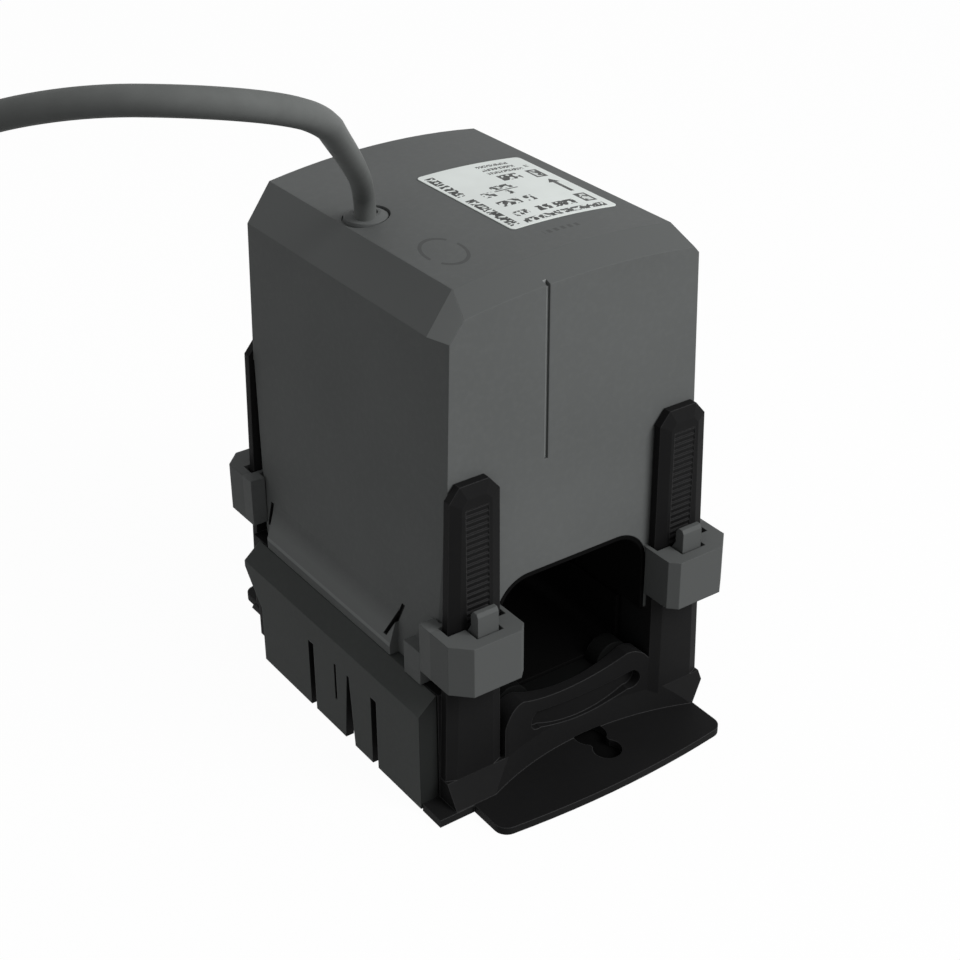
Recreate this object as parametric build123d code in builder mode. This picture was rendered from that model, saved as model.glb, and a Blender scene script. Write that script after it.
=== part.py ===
from build123d import *
import math
import os

# Split-core current transformer with a fixed output lead, in millimetres.
# +Z is up, the conductor window runs along Y with the front at -Y, and the origin is the middle of
# the underside of the base. The upper half lifts straight off the four ratchet arms of the base.

# Fits and walls
FIT = 0.2
SLIDE_FIT = 0.4
FLAT_FIT = 0.1
WALL = 2.0

# Conductor window
WINDOW_HALF = 19.9
WINDOW_TOP = 49.5
WINDOW_ROUND = 8.4
FLOOR_ROUND = 4.0
LINER_WALL = 0.9
PARTING = 28.5
INNER_HALF = WINDOW_HALF - LINER_WALL

# Limbs of the core beside the window
LIMB_GAP = 1.3
LIMB_WIDTH = 6.8
LIMB_INNER = WINDOW_HALF + LIMB_GAP
LIMB_OUTER = LIMB_INNER + LIMB_WIDTH

# Upper housing
HOUSING_DEPTH = 38.2
LIMB_ROOM = 2.8
HOUSING_DRAFT = 2.5
HOUSING_FOOT_HALF = LIMB_OUTER + LIMB_ROOM + WALL
HOUSING_HIGH_HALF = HOUSING_FOOT_HALF - HOUSING_DRAFT
EAVES = 113.5
DRAFT_END = 6.5
HOUSING_HIGH = EAVES - DRAFT_END
CROWN_RISE = 2.3
CROWN = EAVES + CROWN_RISE
RIGHT_RISE = 0.6
BEVEL_LENGTH = 7.5
BEVEL_DROP = 2.8
LONG_CHAMFER_WIDTH = 5.7
LONG_CHAMFER_HEIGHT = 8.2
FRONT_CHAMFER_WIDTH = 3.2
FRONT_CHAMFER_HEIGHT = 4.1
SHORT_CHAMFER_WIDTH = 1.2
SHORT_CHAMFER_HEIGHT = 0.8
GROOVE_X = -7.5
GROOVE_WIDTH = 0.9
GROOVE_DEPTH = 0.6
GROOVE_LENGTH = 38.5
GROOVE_ON_BEVEL = 1.4
GROOVE_BEVEL_SINK = 0.8
GROOVE_LOW = EAVES - GROOVE_LENGTH
GROOVE_HIGH = CROWN - BEVEL_DROP - GROOVE_BEVEL_SINK
CORNER_RELIEF = 1.6
CORNER_RELIEF_LENGTH = 6.0

# Ratchet arms of the base: flat middle face with fine ribs between two wide bevels
ARM_WIDTH = 12.0
ARM_INSET = 0.4
ARM_GAP = 0.3
ARM_THICKNESS = 2.9
ARM_TOP = 77.0
ARM_SHOULDER = 3.0
ARM_TIP_WIDTH = 7.0
ARM_BEVEL = 2.4
ARM_BEVEL_DEPTH = 1.0
ARM_DRAFT = 0.03
RIB_WIDTH = 5.5
RIB_LOW = 30.0
RIB_TO_TOP = 5.0
RIB_PITCH = 1.4
RIB_DEPTH = 0.35
RIB_CREST = 0.05
ARM_OUTER = HOUSING_FOOT_HALF - ARM_INSET
ARM_INNER = ARM_OUTER - ARM_WIDTH
ARM_BACK = HOUSING_DEPTH + ARM_GAP
ARM_FRONT = ARM_BACK + ARM_THICKNESS
RIB_HIGH = ARM_TOP - RIB_TO_TOP

# Ears of the housing, with their pawls
EAR_HEIGHT = 11.7
EAR_RISE = 4.6
EAR_OVERHANG = 3.9
EAR_REACH = 10.4
EAR_CORNER = 3.8
EAR_LAP = 3.6
EAR_LOW = PARTING + EAR_RISE
EAR_HIGH = EAR_LOW + EAR_HEIGHT
EAR_OUTER = ARM_OUTER + EAR_OVERHANG
EAR_FRONT = HOUSING_DEPTH + EAR_REACH
PAWL_SHIFT = 0.3
PAWL_WIDTH = 5.1
PAWL_RISE = 5.0
PAWL_THICKNESS = 2.4
PAWL_SLOT = 0.7
PAWL_ROOT = 2.0
PAWL_GAP = 1.4
PAWL_NOSE_GAP = 0.2
PAWL_X = (ARM_INNER + ARM_OUTER) / 2 + PAWL_SHIFT
PAWL_TOP = EAR_HIGH + PAWL_RISE

# Side ledges, hooks and slanted slits of the housing, measured from its ends
LEDGE_OVERHANG = 2.2
LEDGE_RISE = 11.0
LEDGE_LIP = 2.5
LEDGE_FRONT_INSET = 17.2
LEDGE_BACK_INSET = 7.2
LEDGE_REACH = HOUSING_FOOT_HALF + LEDGE_OVERHANG
LEDGE_TOP = PARTING + LEDGE_RISE
LEDGE_FRONT = LEDGE_FRONT_INSET - HOUSING_DEPTH
LEDGE_BACK = HOUSING_DEPTH - LEDGE_BACK_INSET
HOOK_INSET = 4.7
HOOK_LENGTH = 6.0
HOOK_OVERHANG = 2.8
HOOK_RISE = 8.0
HOOK_FAR = HOUSING_DEPTH - HOOK_INSET
HOOK_NEAR = HOOK_FAR - HOOK_LENGTH
HOOK_REACH = HOUSING_FOOT_HALF + HOOK_OVERHANG
HOOK_HIGH = PARTING + HOOK_RISE
SLIT_WIDTH = 1.0
SLIT_DEPTH = 1.0
SLIT_RISE = 4.0
FRONT_SLIT_HEIGHT = 8.8
FRONT_SLIT_LEAN = 4.2
BACK_SLIT_HEIGHT = 6.7
BACK_SLIT_LEAN = 1.8
SLIT_LOW = PARTING + SLIT_RISE
FRONT_SLIT = LEDGE_FRONT - 1.8
BACK_SLIT = LEDGE_BACK + 1.0
SLITS = [
    ((FRONT_SLIT, SLIT_LOW + FRONT_SLIT_HEIGHT), (FRONT_SLIT + FRONT_SLIT_LEAN, SLIT_LOW)),
    ((BACK_SLIT, SLIT_LOW + BACK_SLIT_HEIGHT), (BACK_SLIT + BACK_SLIT_LEAN, SLIT_LOW)),
]

# Lower cover: the left half, which the right half repeats turned by half a turn
COVER_OVERHANG = 6.5
COVER_BOTTOM = 0.5
SHOULDER_FALL = 3.9
SHOULDER_INSET = 4.3
COVER_SIDE = 4.4
COVER_SHORT = 10.2
COVER_END_WALL = 2.4
TROUGH_FLOOR = 15.0
POST_DEPTH = 6.1
COVER_HALF = HOUSING_FOOT_HALF + COVER_OVERHANG
COVER_SHOULDER = PARTING - SHOULDER_FALL
COVER_TOP_HALF = COVER_HALF - SHOULDER_INSET
COVER_INNER = COVER_HALF - COVER_SIDE
COVER_FRONT = HOUSING_DEPTH
COVER_BACK = HOUSING_DEPTH - COVER_SHORT
POST_NEAR = ARM_BACK - POST_DEPTH
COVER_WELL_END = POST_NEAR - COVER_END_WALL
BAND_INSET = 3.2
BAND_HEIGHT = 14.5
BAND_END_HEIGHT = 5.5
BAND_END = HOUSING_DEPTH - BAND_INSET
BAND_LOW = PARTING - BAND_HEIGHT
BAND_END_LOW = PARTING - BAND_END_HEIGHT
NOSE_INSET = 0.6
NOSE_ROUND = 4.5
NOSE_LAP = 1.0
NOSE_HALF = INNER_HALF - NOSE_INSET
NOSE_INNER = POST_NEAR - NOSE_LAP
NOSE_ROOT = COVER_BACK - NOSE_LAP
CHANNEL_END = NOSE_INNER - FIT
CHANNEL_ROUND = FLOOR_ROUND - FLAT_FIT
SLOT_WIDTH = 2.2
SLOT_TOP = 18.3
SLOT_BACK_Y = 5.6
SLOT_FRONT_Y = -20.4
THIN_SLOT_WIDTH = 0.8
THIN_SLOT_Y = -4.7
THIN_SLOT_LOW = 8.7
WEDGE_Y = -10.1
WEDGE_TOP_WIDTH = 0.8
WEDGE_LOW_WIDTH = 4.0

# Base frame
PLATE = 1.8
BASE_INSET = 0.3
PLATE_MARGIN = 3.6
FLANGE_INSET = 2.1
FLANGE_LENGTH = 10.0
FLANGE_BOW = 2.0
FLANGE_ROUND = 3.0
BASE_HALF = COVER_HALF - BASE_INSET
BASE_END = ARM_FRONT + PLATE_MARGIN
FLANGE_HALF = ARM_OUTER - FLANGE_INSET
FLANGE_CORNER = BASE_END + FLANGE_LENGTH
FLANGE_MIDDLE = FLANGE_CORNER + FLANGE_BOW
FOOT_HIGH = 7.0
FOOT_REACH = 3.4
FOOT_BEVEL_DROP = 1.8
FOOT_BEVEL_HIGH = FOOT_HIGH - FOOT_BEVEL_DROP
FOOT_HALF = ARM_OUTER + (ARM_TOP - ARM_SHOULDER) * ARM_DRAFT
SADDLE_X = 0.6
SADDLE_GAP = 0.1
SADDLE_SHOULDER_INSET = 5.8
SADDLE_HIGH = 18.5
SADDLE_SAG = 3.3
SADDLE_END_DROP = 4.8
SADDLE_DEPTH = 5.7
SADDLE_HALF = ARM_INNER - SADDLE_GAP
SADDLE_SHOULDER = SADDLE_HALF - SADDLE_SHOULDER_INSET
SADDLE_DIP = SADDLE_HIGH - SADDLE_SAG
SADDLE_INNER = ARM_FRONT - SADDLE_DEPTH
HOLLOW_X = 2.6
HOLLOW_RADIUS = 70.0
HOLLOW_CUT = 2.1
HOLLOW_STEP = 1.2
HOLLOW_FACE = ARM_FRONT - HOLLOW_CUT
RECESS_DEPTH = 0.8
RECESS_X = 3.6
RECESS_HALF = 13.0
RECESS_ROUND = 2.7
KEYHOLE_X = 4.2
KEYHOLE_OUT = 5.2
KEYHOLE_RADIUS = 3.25
KEYSLOT_WIDTH = 4.6
KEYSLOT_LENGTH = 6.3
KEYSLOT_END_RADIUS = 3.8
KEYHOLE_Y = ARM_FRONT + KEYHOLE_OUT
KEYSLOT_NEAR = KEYHOLE_Y - KEYSLOT_LENGTH

# Core: stack along Y, upper yoke under the roof, lower yoke on its springs
STACK_MARGIN = 16.2
YOKE = 7.0
YOKE_HEADROOM = 26.5
SPRING_ROOM = 3.6
CORE_ROUND = 3.0
SPRING_LENGTH = 34.0
SPRING_WIDTH = 9.0
SPRING = 0.5
SPRING_Y = 12.0
STACK_HALF = HOUSING_DEPTH - STACK_MARGIN
YOKE_HIGH = EAVES - YOKE_HEADROOM
YOKE_LOW = YOKE_HIGH - YOKE
LOWER_YOKE_LOW = PLATE + SPRING_ROOM

# Coil
BOBBIN_WALL = 1.2
BOBBIN_GAP = 0.6
BOBBIN_FLANGE = 1.3
WINDING = 8.6
FLANGE_RISE = 1.4
WRAP = 0.4
BOBBIN_HALF = LIMB_INNER - BOBBIN_GAP
COIL_TOP = YOKE_HIGH + FIT + BOBBIN_WALL + WINDING

# Rating label
LABEL_X = 10.8
LABEL_Y = -2.6
LABEL_WIDTH = 24.4
LABEL_LENGTH = 33.6
LABEL_ROUND = 2.0
LABEL_SHEET = 0.2

# Output lead
CORD = 4.5
EXIT_X = -19.2
EXIT_Y = 7.7
SEAT_DEPTH = 0.1
COUNTERBORE = 5.0
GROMMET_WALL = 1.45
GROMMET_LENGTH = 4.4
GROMMET_RISE = 1.8
COLLAR_RIM = 0.9
STRAIN_TIE = 2.4
STRAIN_TIE_WALL = 1.2
JACKET_BELOW = 3.1
ROOF_SEAT = EAVES - SEAT_DEPTH
GROMMET_RADIUS = CORD / 2 + GROMMET_WALL
GROMMET_LOW = ROOF_SEAT - GROMMET_LENGTH
GROMMET_HIGH = ROOF_SEAT + GROMMET_RISE
COLLAR_RADIUS = GROMMET_RADIUS + COLLAR_RIM
JACKET_END = GROMMET_LOW - STRAIN_TIE - JACKET_BELOW
WIRE = 1.5
WIRE_OFFSET = 0.9
SPLICE = 3.2
SPLICE_LENGTH = 12.0
SPLICE_X = -9.0
COIL_TURN_RADIUS = 25.0
COIL_HEIGHT = 12.6
COIL_TIE_WIDTH = 6.0
COIL_TIE = 0.6
COIL_X = -138.0
COIL_Y = 87.0
COIL_ENTRY = 8.0
TAIL_LENGTH = 30.0
WIRE_SPLAY = 1.6
WIRE_LENGTH = 11.0
FERRULE_COLLAR = 2.4
FERRULE_COLLAR_LENGTH = 4.0
FERRULE_PIN = 1.3
FERRULE_PIN_LENGTH = 8.0

# Rise of the drafted housing wall
WALL_SLOPE = HOUSING_DRAFT / (HOUSING_HIGH - PARTING)


def wall_x(z):
    """Half width of the drafted housing wall at height z."""
    return HOUSING_HIGH_HALF + (HOUSING_HIGH - z) * WALL_SLOPE


def roof_section(y, foot, chamfer_width, chamfer_height, inset, drop):
    """Cross-section of the housing at y: drafted sides, two chamfers and a crowned top."""
    eaves = EAVES - drop - inset
    high = wall_x(eaves) - inset
    left_foot = eaves - chamfer_height
    right_foot = eaves - SHORT_CHAMFER_HEIGHT
    with BuildSketch(Plane.XZ.offset(-y)) as section:
        with BuildLine():
            left = Line((-wall_x(foot) + inset, foot), (-wall_x(left_foot) + inset, left_foot))
            chamfer_left = Line(left @ 1, (-high + chamfer_width, eaves))
            crown = (0, CROWN - drop - inset)
            arch = ThreePointArc(chamfer_left @ 1, crown, (high - SHORT_CHAMFER_WIDTH, eaves + RIGHT_RISE))
            chamfer_right = Line(arch @ 1, (wall_x(right_foot) - inset, right_foot))
            right = Line(chamfer_right @ 1, (wall_x(foot) - inset, foot))
            Line(right @ 1, left @ 0)
        make_face()
    return section.sketch


def window_section(y, inset):
    """Outline of the conductor window at y: straight sides, rounded upper corners, flat top."""
    half = WINDOW_HALF - inset
    top = WINDOW_TOP - inset
    radius = WINDOW_ROUND - inset
    with BuildSketch(Plane.XZ.offset(-y)) as section:
        with Locations((0, top / 2)):
            Rectangle(2 * half, top)
        fillet(section.vertices().group_by(Axis.Z)[-1], radius)
    return section.sketch


def block(low, high):
    """A plain box between two corners, for the builder that asks for it to add or subtract."""
    size = [b - a for a, b in zip(low, high)]
    centre = [(a + b) / 2 for a, b in zip(low, high)]
    return Pos(*centre) * Box(*size, mode=Mode.PRIVATE)


def quadrant_block(side, end, x, y, z):
    """A box given by its distances from the middle planes, on the chosen side and end."""
    xs = sorted(side * v for v in x)
    ys = sorted(end * v for v in y)
    return block((xs[0], ys[0], z[0]), (xs[1], ys[1], z[1]))


def arm_outline(side, plane_y, inset):
    """Outline of a ratchet arm with a drafted outer side, or of its middle face if inset is given."""
    middle = side * (ARM_INNER + ARM_OUTER) / 2
    half = (ARM_OUTER - ARM_INNER) / 2 - inset
    slope = ARM_SHOULDER / ((ARM_OUTER - ARM_INNER - ARM_TIP_WIDTH) / 2)
    tip = ARM_TIP_WIDTH / 2 - inset / 2
    shoulder = ARM_TOP - ARM_SHOULDER - inset / 2
    top = shoulder + slope * (half - tip)
    with BuildSketch(Plane.XZ.offset(-plane_y)) as outline:
        with BuildLine():
            Polyline(
                (middle - side * half, 0),
                (middle - side * half, shoulder),
                (middle - side * tip, top),
                (middle + side * tip, top),
                (middle + side * half, shoulder),
                (middle + side * (half + shoulder * ARM_DRAFT), 0),
                close=True,
            )
        make_face()
    return outline.sketch


def save(part, label):
    """Name a finished piece and write its file."""
    part.label = label
    export_step(part, f"parts/{label}.step")


CORNERS = [(side, end) for side in (-1, 1) for end in (-1, 1)]
os.makedirs("parts", exist_ok=True)

# Base frame: floor plate, flanges with keyholes, posts, saddle walls and ratchet arms
saddle_blanks = []
for end in (-1, 1):
    with BuildPart() as saddle:
        with BuildSketch(Plane.XZ.offset(-end * SADDLE_INNER)):
            with BuildLine():
                end_low = SADDLE_HIGH - SADDLE_END_DROP
                bulge = (SADDLE_HALF - 1.7, SADDLE_HIGH - 1.2)
                top = ThreePointArc(
                    (-SADDLE_SHOULDER, SADDLE_HIGH), (0, SADDLE_DIP), (SADDLE_SHOULDER, SADDLE_HIGH)
                )
                right = ThreePointArc(top @ 1, bulge, (SADDLE_HALF, end_low))
                Polyline(right @ 1, (SADDLE_HALF, 0), (-SADDLE_HALF, 0), (-SADDLE_HALF, end_low))
                ThreePointArc((-SADDLE_HALF, end_low), (-bulge[0], bulge[1]), top @ 0)
            make_face()
        extrude(amount=-end * (ARM_FRONT - SADDLE_INNER))
    saddle_blanks.append(Pos(SADDLE_X, 0, 0) * saddle.part)

with BuildPart() as base_frame:
    with BuildSketch():
        Rectangle(2 * (COVER_INNER - FIT), 2 * ARM_BACK)
        Rectangle(2 * FLANGE_HALF, 2 * BASE_END)
        for end in (-1, 1):
            with Locations((end * BASE_HALF / 2, end * (COVER_FRONT + FIT + BASE_END) / 2)):
                Rectangle(BASE_HALF, BASE_END - COVER_FRONT - FIT)
            with BuildLine():
                Polyline(
                    (-FLANGE_HALF, end * FLANGE_CORNER),
                    (-FLANGE_HALF, end * (BASE_END - 1)),
                    (FLANGE_HALF, end * (BASE_END - 1)),
                    (FLANGE_HALF, end * FLANGE_CORNER),
                )
                ThreePointArc(
                    (FLANGE_HALF, end * FLANGE_CORNER),
                    (0, end * FLANGE_MIDDLE),
                    (-FLANGE_HALF, end * FLANGE_CORNER),
                )
            make_face()
    extrude(amount=PLATE)
    flange_corners = base_frame.edges().filter_by(Axis.Z).filter_by_position(
        Axis.Y, -FLANGE_CORNER - 0.1, -FLANGE_CORNER + 0.1
    ) + base_frame.edges().filter_by(Axis.Z).filter_by_position(
        Axis.Y, FLANGE_CORNER - 0.1, FLANGE_CORNER + 0.1
    )
    fillet(flange_corners, FLANGE_ROUND)
    for end in (-1, 1):
        with BuildSketch(Plane.YZ.offset(-FOOT_HALF)):
            with BuildLine():
                Polyline(
                    (end * SADDLE_INNER, PLATE / 2),
                    (end * (ARM_FRONT + FOOT_REACH), PLATE / 2),
                    (end * (ARM_FRONT + FOOT_REACH), PLATE),
                    (end * ARM_FRONT, FOOT_HIGH),
                    (end * SADDLE_INNER, FOOT_HIGH),
                    close=True,
                )
            make_face()
        extrude(amount=2 * FOOT_HALF)
    add(saddle_blanks)
    for end in (-1, 1):
        centre_y = end * (HOLLOW_FACE + HOLLOW_RADIUS)
        with Locations((HOLLOW_X, centre_y, FOOT_HIGH)):
            Cylinder(
                HOLLOW_RADIUS + HOLLOW_STEP,
                SADDLE_HIGH + 2 - FOOT_HIGH,
                align=(Align.CENTER, Align.CENTER, Align.MIN),
                mode=Mode.SUBTRACT,
            )
        with Locations((HOLLOW_X, centre_y, PLATE)):
            Cone(
                HOLLOW_RADIUS,
                HOLLOW_RADIUS + HOLLOW_STEP,
                FOOT_HIGH - PLATE,
                align=(Align.CENTER, Align.CENTER, Align.MIN),
                mode=Mode.SUBTRACT,
            )
    for side, end in CORNERS:
        post_outer = COVER_INNER - FIT
        post_near = (COVER_BACK if side != end else POST_NEAR - FIT) + FIT
        add(quadrant_block(side, end, (ARM_INNER, post_outer), (post_near, ARM_BACK), (0, PARTING - FIT)))
        arm_edge = end * (ARM_FRONT - ARM_BEVEL_DEPTH)
        extrude(arm_outline(side, end * ARM_BACK, 0), amount=-end * (ARM_THICKNESS - ARM_BEVEL_DEPTH))
        loft([arm_outline(side, arm_edge, 0), arm_outline(side, end * ARM_FRONT, ARM_BEVEL)], ruled=True)
        if side != end:
            with BuildSketch(Plane.XZ.offset(-end * ARM_BACK)):
                with BuildLine():
                    Polyline(
                        (side * BASE_HALF, FOOT_BEVEL_HIGH),
                        (side * FOOT_HALF, FOOT_BEVEL_HIGH),
                        (side * FLANGE_HALF, PLATE),
                        (side * FLANGE_HALF, -1),
                        (side * BASE_HALF, -1),
                        close=True,
                    )
                make_face()
            extrude(amount=-end * (ARM_THICKNESS + FOOT_REACH + 1), mode=Mode.SUBTRACT)
    ribs = int((RIB_HIGH - RIB_LOW) / RIB_PITCH)
    for side, end in CORNERS:
        corners = [(end * (ARM_FRONT + 1), RIB_LOW)]
        for index in range(ribs):
            low = RIB_LOW + index * RIB_PITCH
            corners.append((end * (ARM_FRONT - RIB_DEPTH), low))
            corners.append((end * (ARM_FRONT - RIB_CREST), low + 0.8 * RIB_PITCH))
        corners.append((end * (ARM_FRONT - RIB_DEPTH), RIB_LOW + ribs * RIB_PITCH))
        corners.append((end * (ARM_FRONT + 1), RIB_LOW + ribs * RIB_PITCH))
        with BuildSketch(Plane.YZ.offset(side * (ARM_INNER + ARM_OUTER) / 2 - RIB_WIDTH / 2)):
            with BuildLine():
                Polyline(*corners, close=True)
            make_face()
        extrude(amount=RIB_WIDTH, mode=Mode.SUBTRACT)
    for end in (-1, 1):
        recess_y = end * (HOLLOW_FACE - HOLLOW_STEP - RECESS_DEPTH)
        with BuildSketch(Plane((RECESS_X, recess_y, 0), (1, 0, 0), (0, -1, 0))):
            with BuildLine():
                low_mid = FOOT_HIGH
                high_mid = SADDLE_DIP - 3.6
                high_end = SADDLE_HIGH - 5.0
                top = ThreePointArc((-RECESS_HALF, high_end), (0, high_mid), (RECESS_HALF, high_end))
                right = ThreePointArc(
                    top @ 1,
                    (RECESS_HALF + RECESS_ROUND * 0.7, high_end - RECESS_ROUND),
                    (RECESS_HALF - 1, high_end - 2 * RECESS_ROUND + 0.6),
                )
                low = ThreePointArc(right @ 1, (0, low_mid - 0.8), (1 - RECESS_HALF, (right @ 1).Y))
                ThreePointArc(
                    low @ 1, (-RECESS_HALF - RECESS_ROUND * 0.7, high_end - RECESS_ROUND), top @ 0
                )
            make_face()
        extrude(amount=-end * (ARM_FRONT - HOLLOW_FACE + 4), mode=Mode.SUBTRACT)
        with BuildSketch():
            with Locations((KEYHOLE_X, end * KEYHOLE_Y)):
                Circle(KEYHOLE_RADIUS)
            with Locations((KEYHOLE_X, end * KEYSLOT_NEAR)):
                Circle(KEYSLOT_END_RADIUS)
            with Locations((KEYHOLE_X, end * (KEYHOLE_Y + KEYSLOT_NEAR) / 2)):
                Rectangle(KEYSLOT_WIDTH, KEYHOLE_Y - KEYSLOT_NEAR)
        extrude(amount=PLATE + FIT, mode=Mode.SUBTRACT)
save(base_frame.part, "base_frame")

# Lower cover: drafted shoulders, window trough, wells for the limbs and a nose behind each saddle
shoulder_outline = [
    (0, COVER_BOTTOM),
    (-COVER_HALF, COVER_BOTTOM),
    (-COVER_HALF, COVER_SHOULDER),
    (-COVER_TOP_HALF, PARTING - FIT),
    (0, PARTING - FIT),
]
with BuildPart() as cover_half:
    with BuildSketch(Plane.XZ.offset(COVER_FRONT)):
        with BuildLine():
            Polyline(*shoulder_outline, close=True)
        make_face()
    extrude(amount=-(COVER_FRONT + COVER_BACK))
    post_gap = (POST_NEAR - FIT, COVER_FRONT + 1)
    add(quadrant_block(-1, -1, (-1, COVER_INNER), post_gap, (COVER_BOTTOM - 1, PARTING)), mode=Mode.SUBTRACT)
    with BuildSketch(Plane.XZ.offset(COVER_WELL_END)):
        inner = COVER_HALF - WALL
        with BuildLine():
            Polyline(
                (-inner, COVER_BOTTOM - 1),
                (-inner, COVER_SHOULDER - WALL / 2),
                (-COVER_TOP_HALF + WALL / 2, PARTING - FIT - WALL),
                (-WINDOW_HALF - FIT, PARTING - FIT - WALL),
                (-WINDOW_HALF - FIT, TROUGH_FLOOR - WALL / 2),
                (1, TROUGH_FLOOR - WALL / 2),
                (1, COVER_BOTTOM - 1),
                close=True,
            )
        make_face()
    extrude(amount=-(COVER_WELL_END + COVER_BACK - WALL), mode=Mode.SUBTRACT)
    floor_low = (-COVER_INNER, -2 * COVER_FRONT, -1)
    add(block(floor_low, (1, 2 * COVER_FRONT, PLATE + FIT)), mode=Mode.SUBTRACT)
    limb_low = (-LIMB_OUTER - FIT, -STACK_HALF - FIT, PARTING - 2 * WALL)
    add(block(limb_low, (-LIMB_INNER + FIT, STACK_HALF + FIT, PARTING)), mode=Mode.SUBTRACT)
    depth = COVER_HALF - WALL - 1
    for slot_y, width, low in (
        (SLOT_BACK_Y, SLOT_WIDTH, 0),
        (SLOT_FRONT_Y, SLOT_WIDTH, 0),
        (THIN_SLOT_Y, THIN_SLOT_WIDTH, THIN_SLOT_LOW),
    ):
        slot_low = (-COVER_HALF - 1, slot_y - width / 2, low)
        add(block(slot_low, (-depth, slot_y + width / 2, SLOT_TOP)), mode=Mode.SUBTRACT)
    with BuildSketch(Plane.YZ.offset(-depth)):
        with BuildLine():
            Polyline(
                (WEDGE_Y - WEDGE_TOP_WIDTH / 2, SLOT_TOP),
                (WEDGE_Y + WEDGE_TOP_WIDTH / 2, SLOT_TOP),
                (WEDGE_Y + WEDGE_LOW_WIDTH / 2, 0),
                (WEDGE_Y - WEDGE_LOW_WIDTH / 2, 0),
                close=True,
            )
        make_face()
    extrude(amount=-(WALL + 2), mode=Mode.SUBTRACT)

# Band along the shoulder that runs on past the back end of the cover, with a curved lower edge
with BuildPart() as shoulder_band:
    with BuildSketch(Plane.YZ.offset(-COVER_HALF)):
        with BuildLine():
            band = Polyline(
                (COVER_BACK - 1, BAND_LOW),
                (COVER_BACK - 1, PARTING - FIT),
                (BAND_END, PARTING - FIT),
                (BAND_END, BAND_END_LOW),
            )
            ThreePointArc(band @ 1, (COVER_BACK + 3.2, BAND_LOW + 4.4), band @ 0)
        make_face()
    extrude(amount=COVER_HALF - COVER_INNER)
    with BuildSketch(Plane.XZ.offset(COVER_FRONT)):
        with BuildLine():
            Polyline(*shoulder_outline, close=True)
        make_face()
    extrude(amount=-3 * COVER_FRONT, mode=Mode.INTERSECT)

with BuildPart() as lower_cover:
    for turn in (0, 180):
        add(cover_half.part.rotate(Axis.Z, turn))
        add(shoulder_band.part.rotate(Axis.Z, turn))
    with BuildSketch(Plane.XZ.offset(COVER_FRONT)):
        with Locations((0, (TROUGH_FLOOR + PARTING) / 2 + 1)):
            Rectangle(2 * INNER_HALF, PARTING - TROUGH_FLOOR + 2)
        fillet(vertices().group_by(Axis.Y)[0], FLOOR_ROUND)
    extrude(amount=-2 * COVER_FRONT, mode=Mode.SUBTRACT)
    for end in (-1, 1):
        nose_low = (-NOSE_HALF, NOSE_ROOT, PLATE + FIT)
        nose_high = (NOSE_HALF, SADDLE_INNER - FIT, TROUGH_FLOOR)
        add(block(nose_low, nose_high).rotate(Axis.Z, 90 + 90 * end))
        with BuildSketch(Plane.XZ.offset(-end * (SADDLE_INNER - FIT))):
            Rectangle(2 * NOSE_HALF, 2 * TROUGH_FLOOR)
            for side in (-1, 1):
                with Locations((side * (NOSE_HALF - NOSE_ROUND), TROUGH_FLOOR + 0.2)):
                    Circle(NOSE_ROUND)
            with Locations((0, PLATE + FIT - 2 * TROUGH_FLOOR)):
                Rectangle(4 * NOSE_HALF, 4 * TROUGH_FLOOR, mode=Mode.SUBTRACT)
        extrude(amount=end * (SADDLE_INNER - FIT - NOSE_INNER))
save(lower_cover.part, "lower_cover")

# Lower liner: the black channel that lies in the trough of the cover
with BuildPart() as lower_liner:
    for inset, mode in ((FLAT_FIT, Mode.ADD), (FLAT_FIT + LINER_WALL, Mode.SUBTRACT)):
        with BuildSketch(Plane.XZ.offset(CHANNEL_END)):
            low = TROUGH_FLOOR + inset
            high = PARTING - FIT
            with Locations((0, (low + high) / 2)):
                Rectangle(2 * (INNER_HALF - inset), high - low)
            fillet(vertices().group_by(Axis.Y)[0], CHANNEL_ROUND + FLAT_FIT - inset)
        extrude(amount=-2 * CHANNEL_END, mode=mode)
save(lower_liner.part, "lower_liner")

# Core halves: wound and cut laminations, with a steel band round each
with BuildPart() as lower_core:
    with BuildSketch(Plane.XZ.offset(STACK_HALF)):
        with BuildLine():
            Polyline(
                (-LIMB_OUTER, PARTING - FLAT_FIT),
                (-LIMB_OUTER, LOWER_YOKE_LOW),
                (LIMB_OUTER, LOWER_YOKE_LOW),
                (LIMB_OUTER, PARTING - FLAT_FIT),
                (LIMB_INNER, PARTING - FLAT_FIT),
                (LIMB_INNER, LOWER_YOKE_LOW + YOKE),
                (-LIMB_INNER, LOWER_YOKE_LOW + YOKE),
                (-LIMB_INNER, PARTING - FLAT_FIT),
                close=True,
            )
        make_face()
        fillet(vertices().group_by(Axis.Y)[0], CORE_ROUND)
    extrude(amount=-2 * STACK_HALF)
save(lower_core.part, "lower_core")

with BuildPart() as upper_core:
    with BuildSketch(Plane.XZ.offset(STACK_HALF)):
        with BuildLine():
            Polyline(
                (-LIMB_OUTER, PARTING),
                (-LIMB_OUTER, YOKE_HIGH),
                (LIMB_OUTER, YOKE_HIGH),
                (LIMB_OUTER, PARTING),
                (LIMB_INNER, PARTING),
                (LIMB_INNER, YOKE_LOW),
                (-LIMB_INNER, YOKE_LOW),
                (-LIMB_INNER, PARTING),
                close=True,
            )
        make_face()
        fillet(vertices().group_by(Axis.Y)[-1], CORE_ROUND)
    extrude(amount=-2 * STACK_HALF)
save(upper_core.part, "upper_core")

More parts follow.
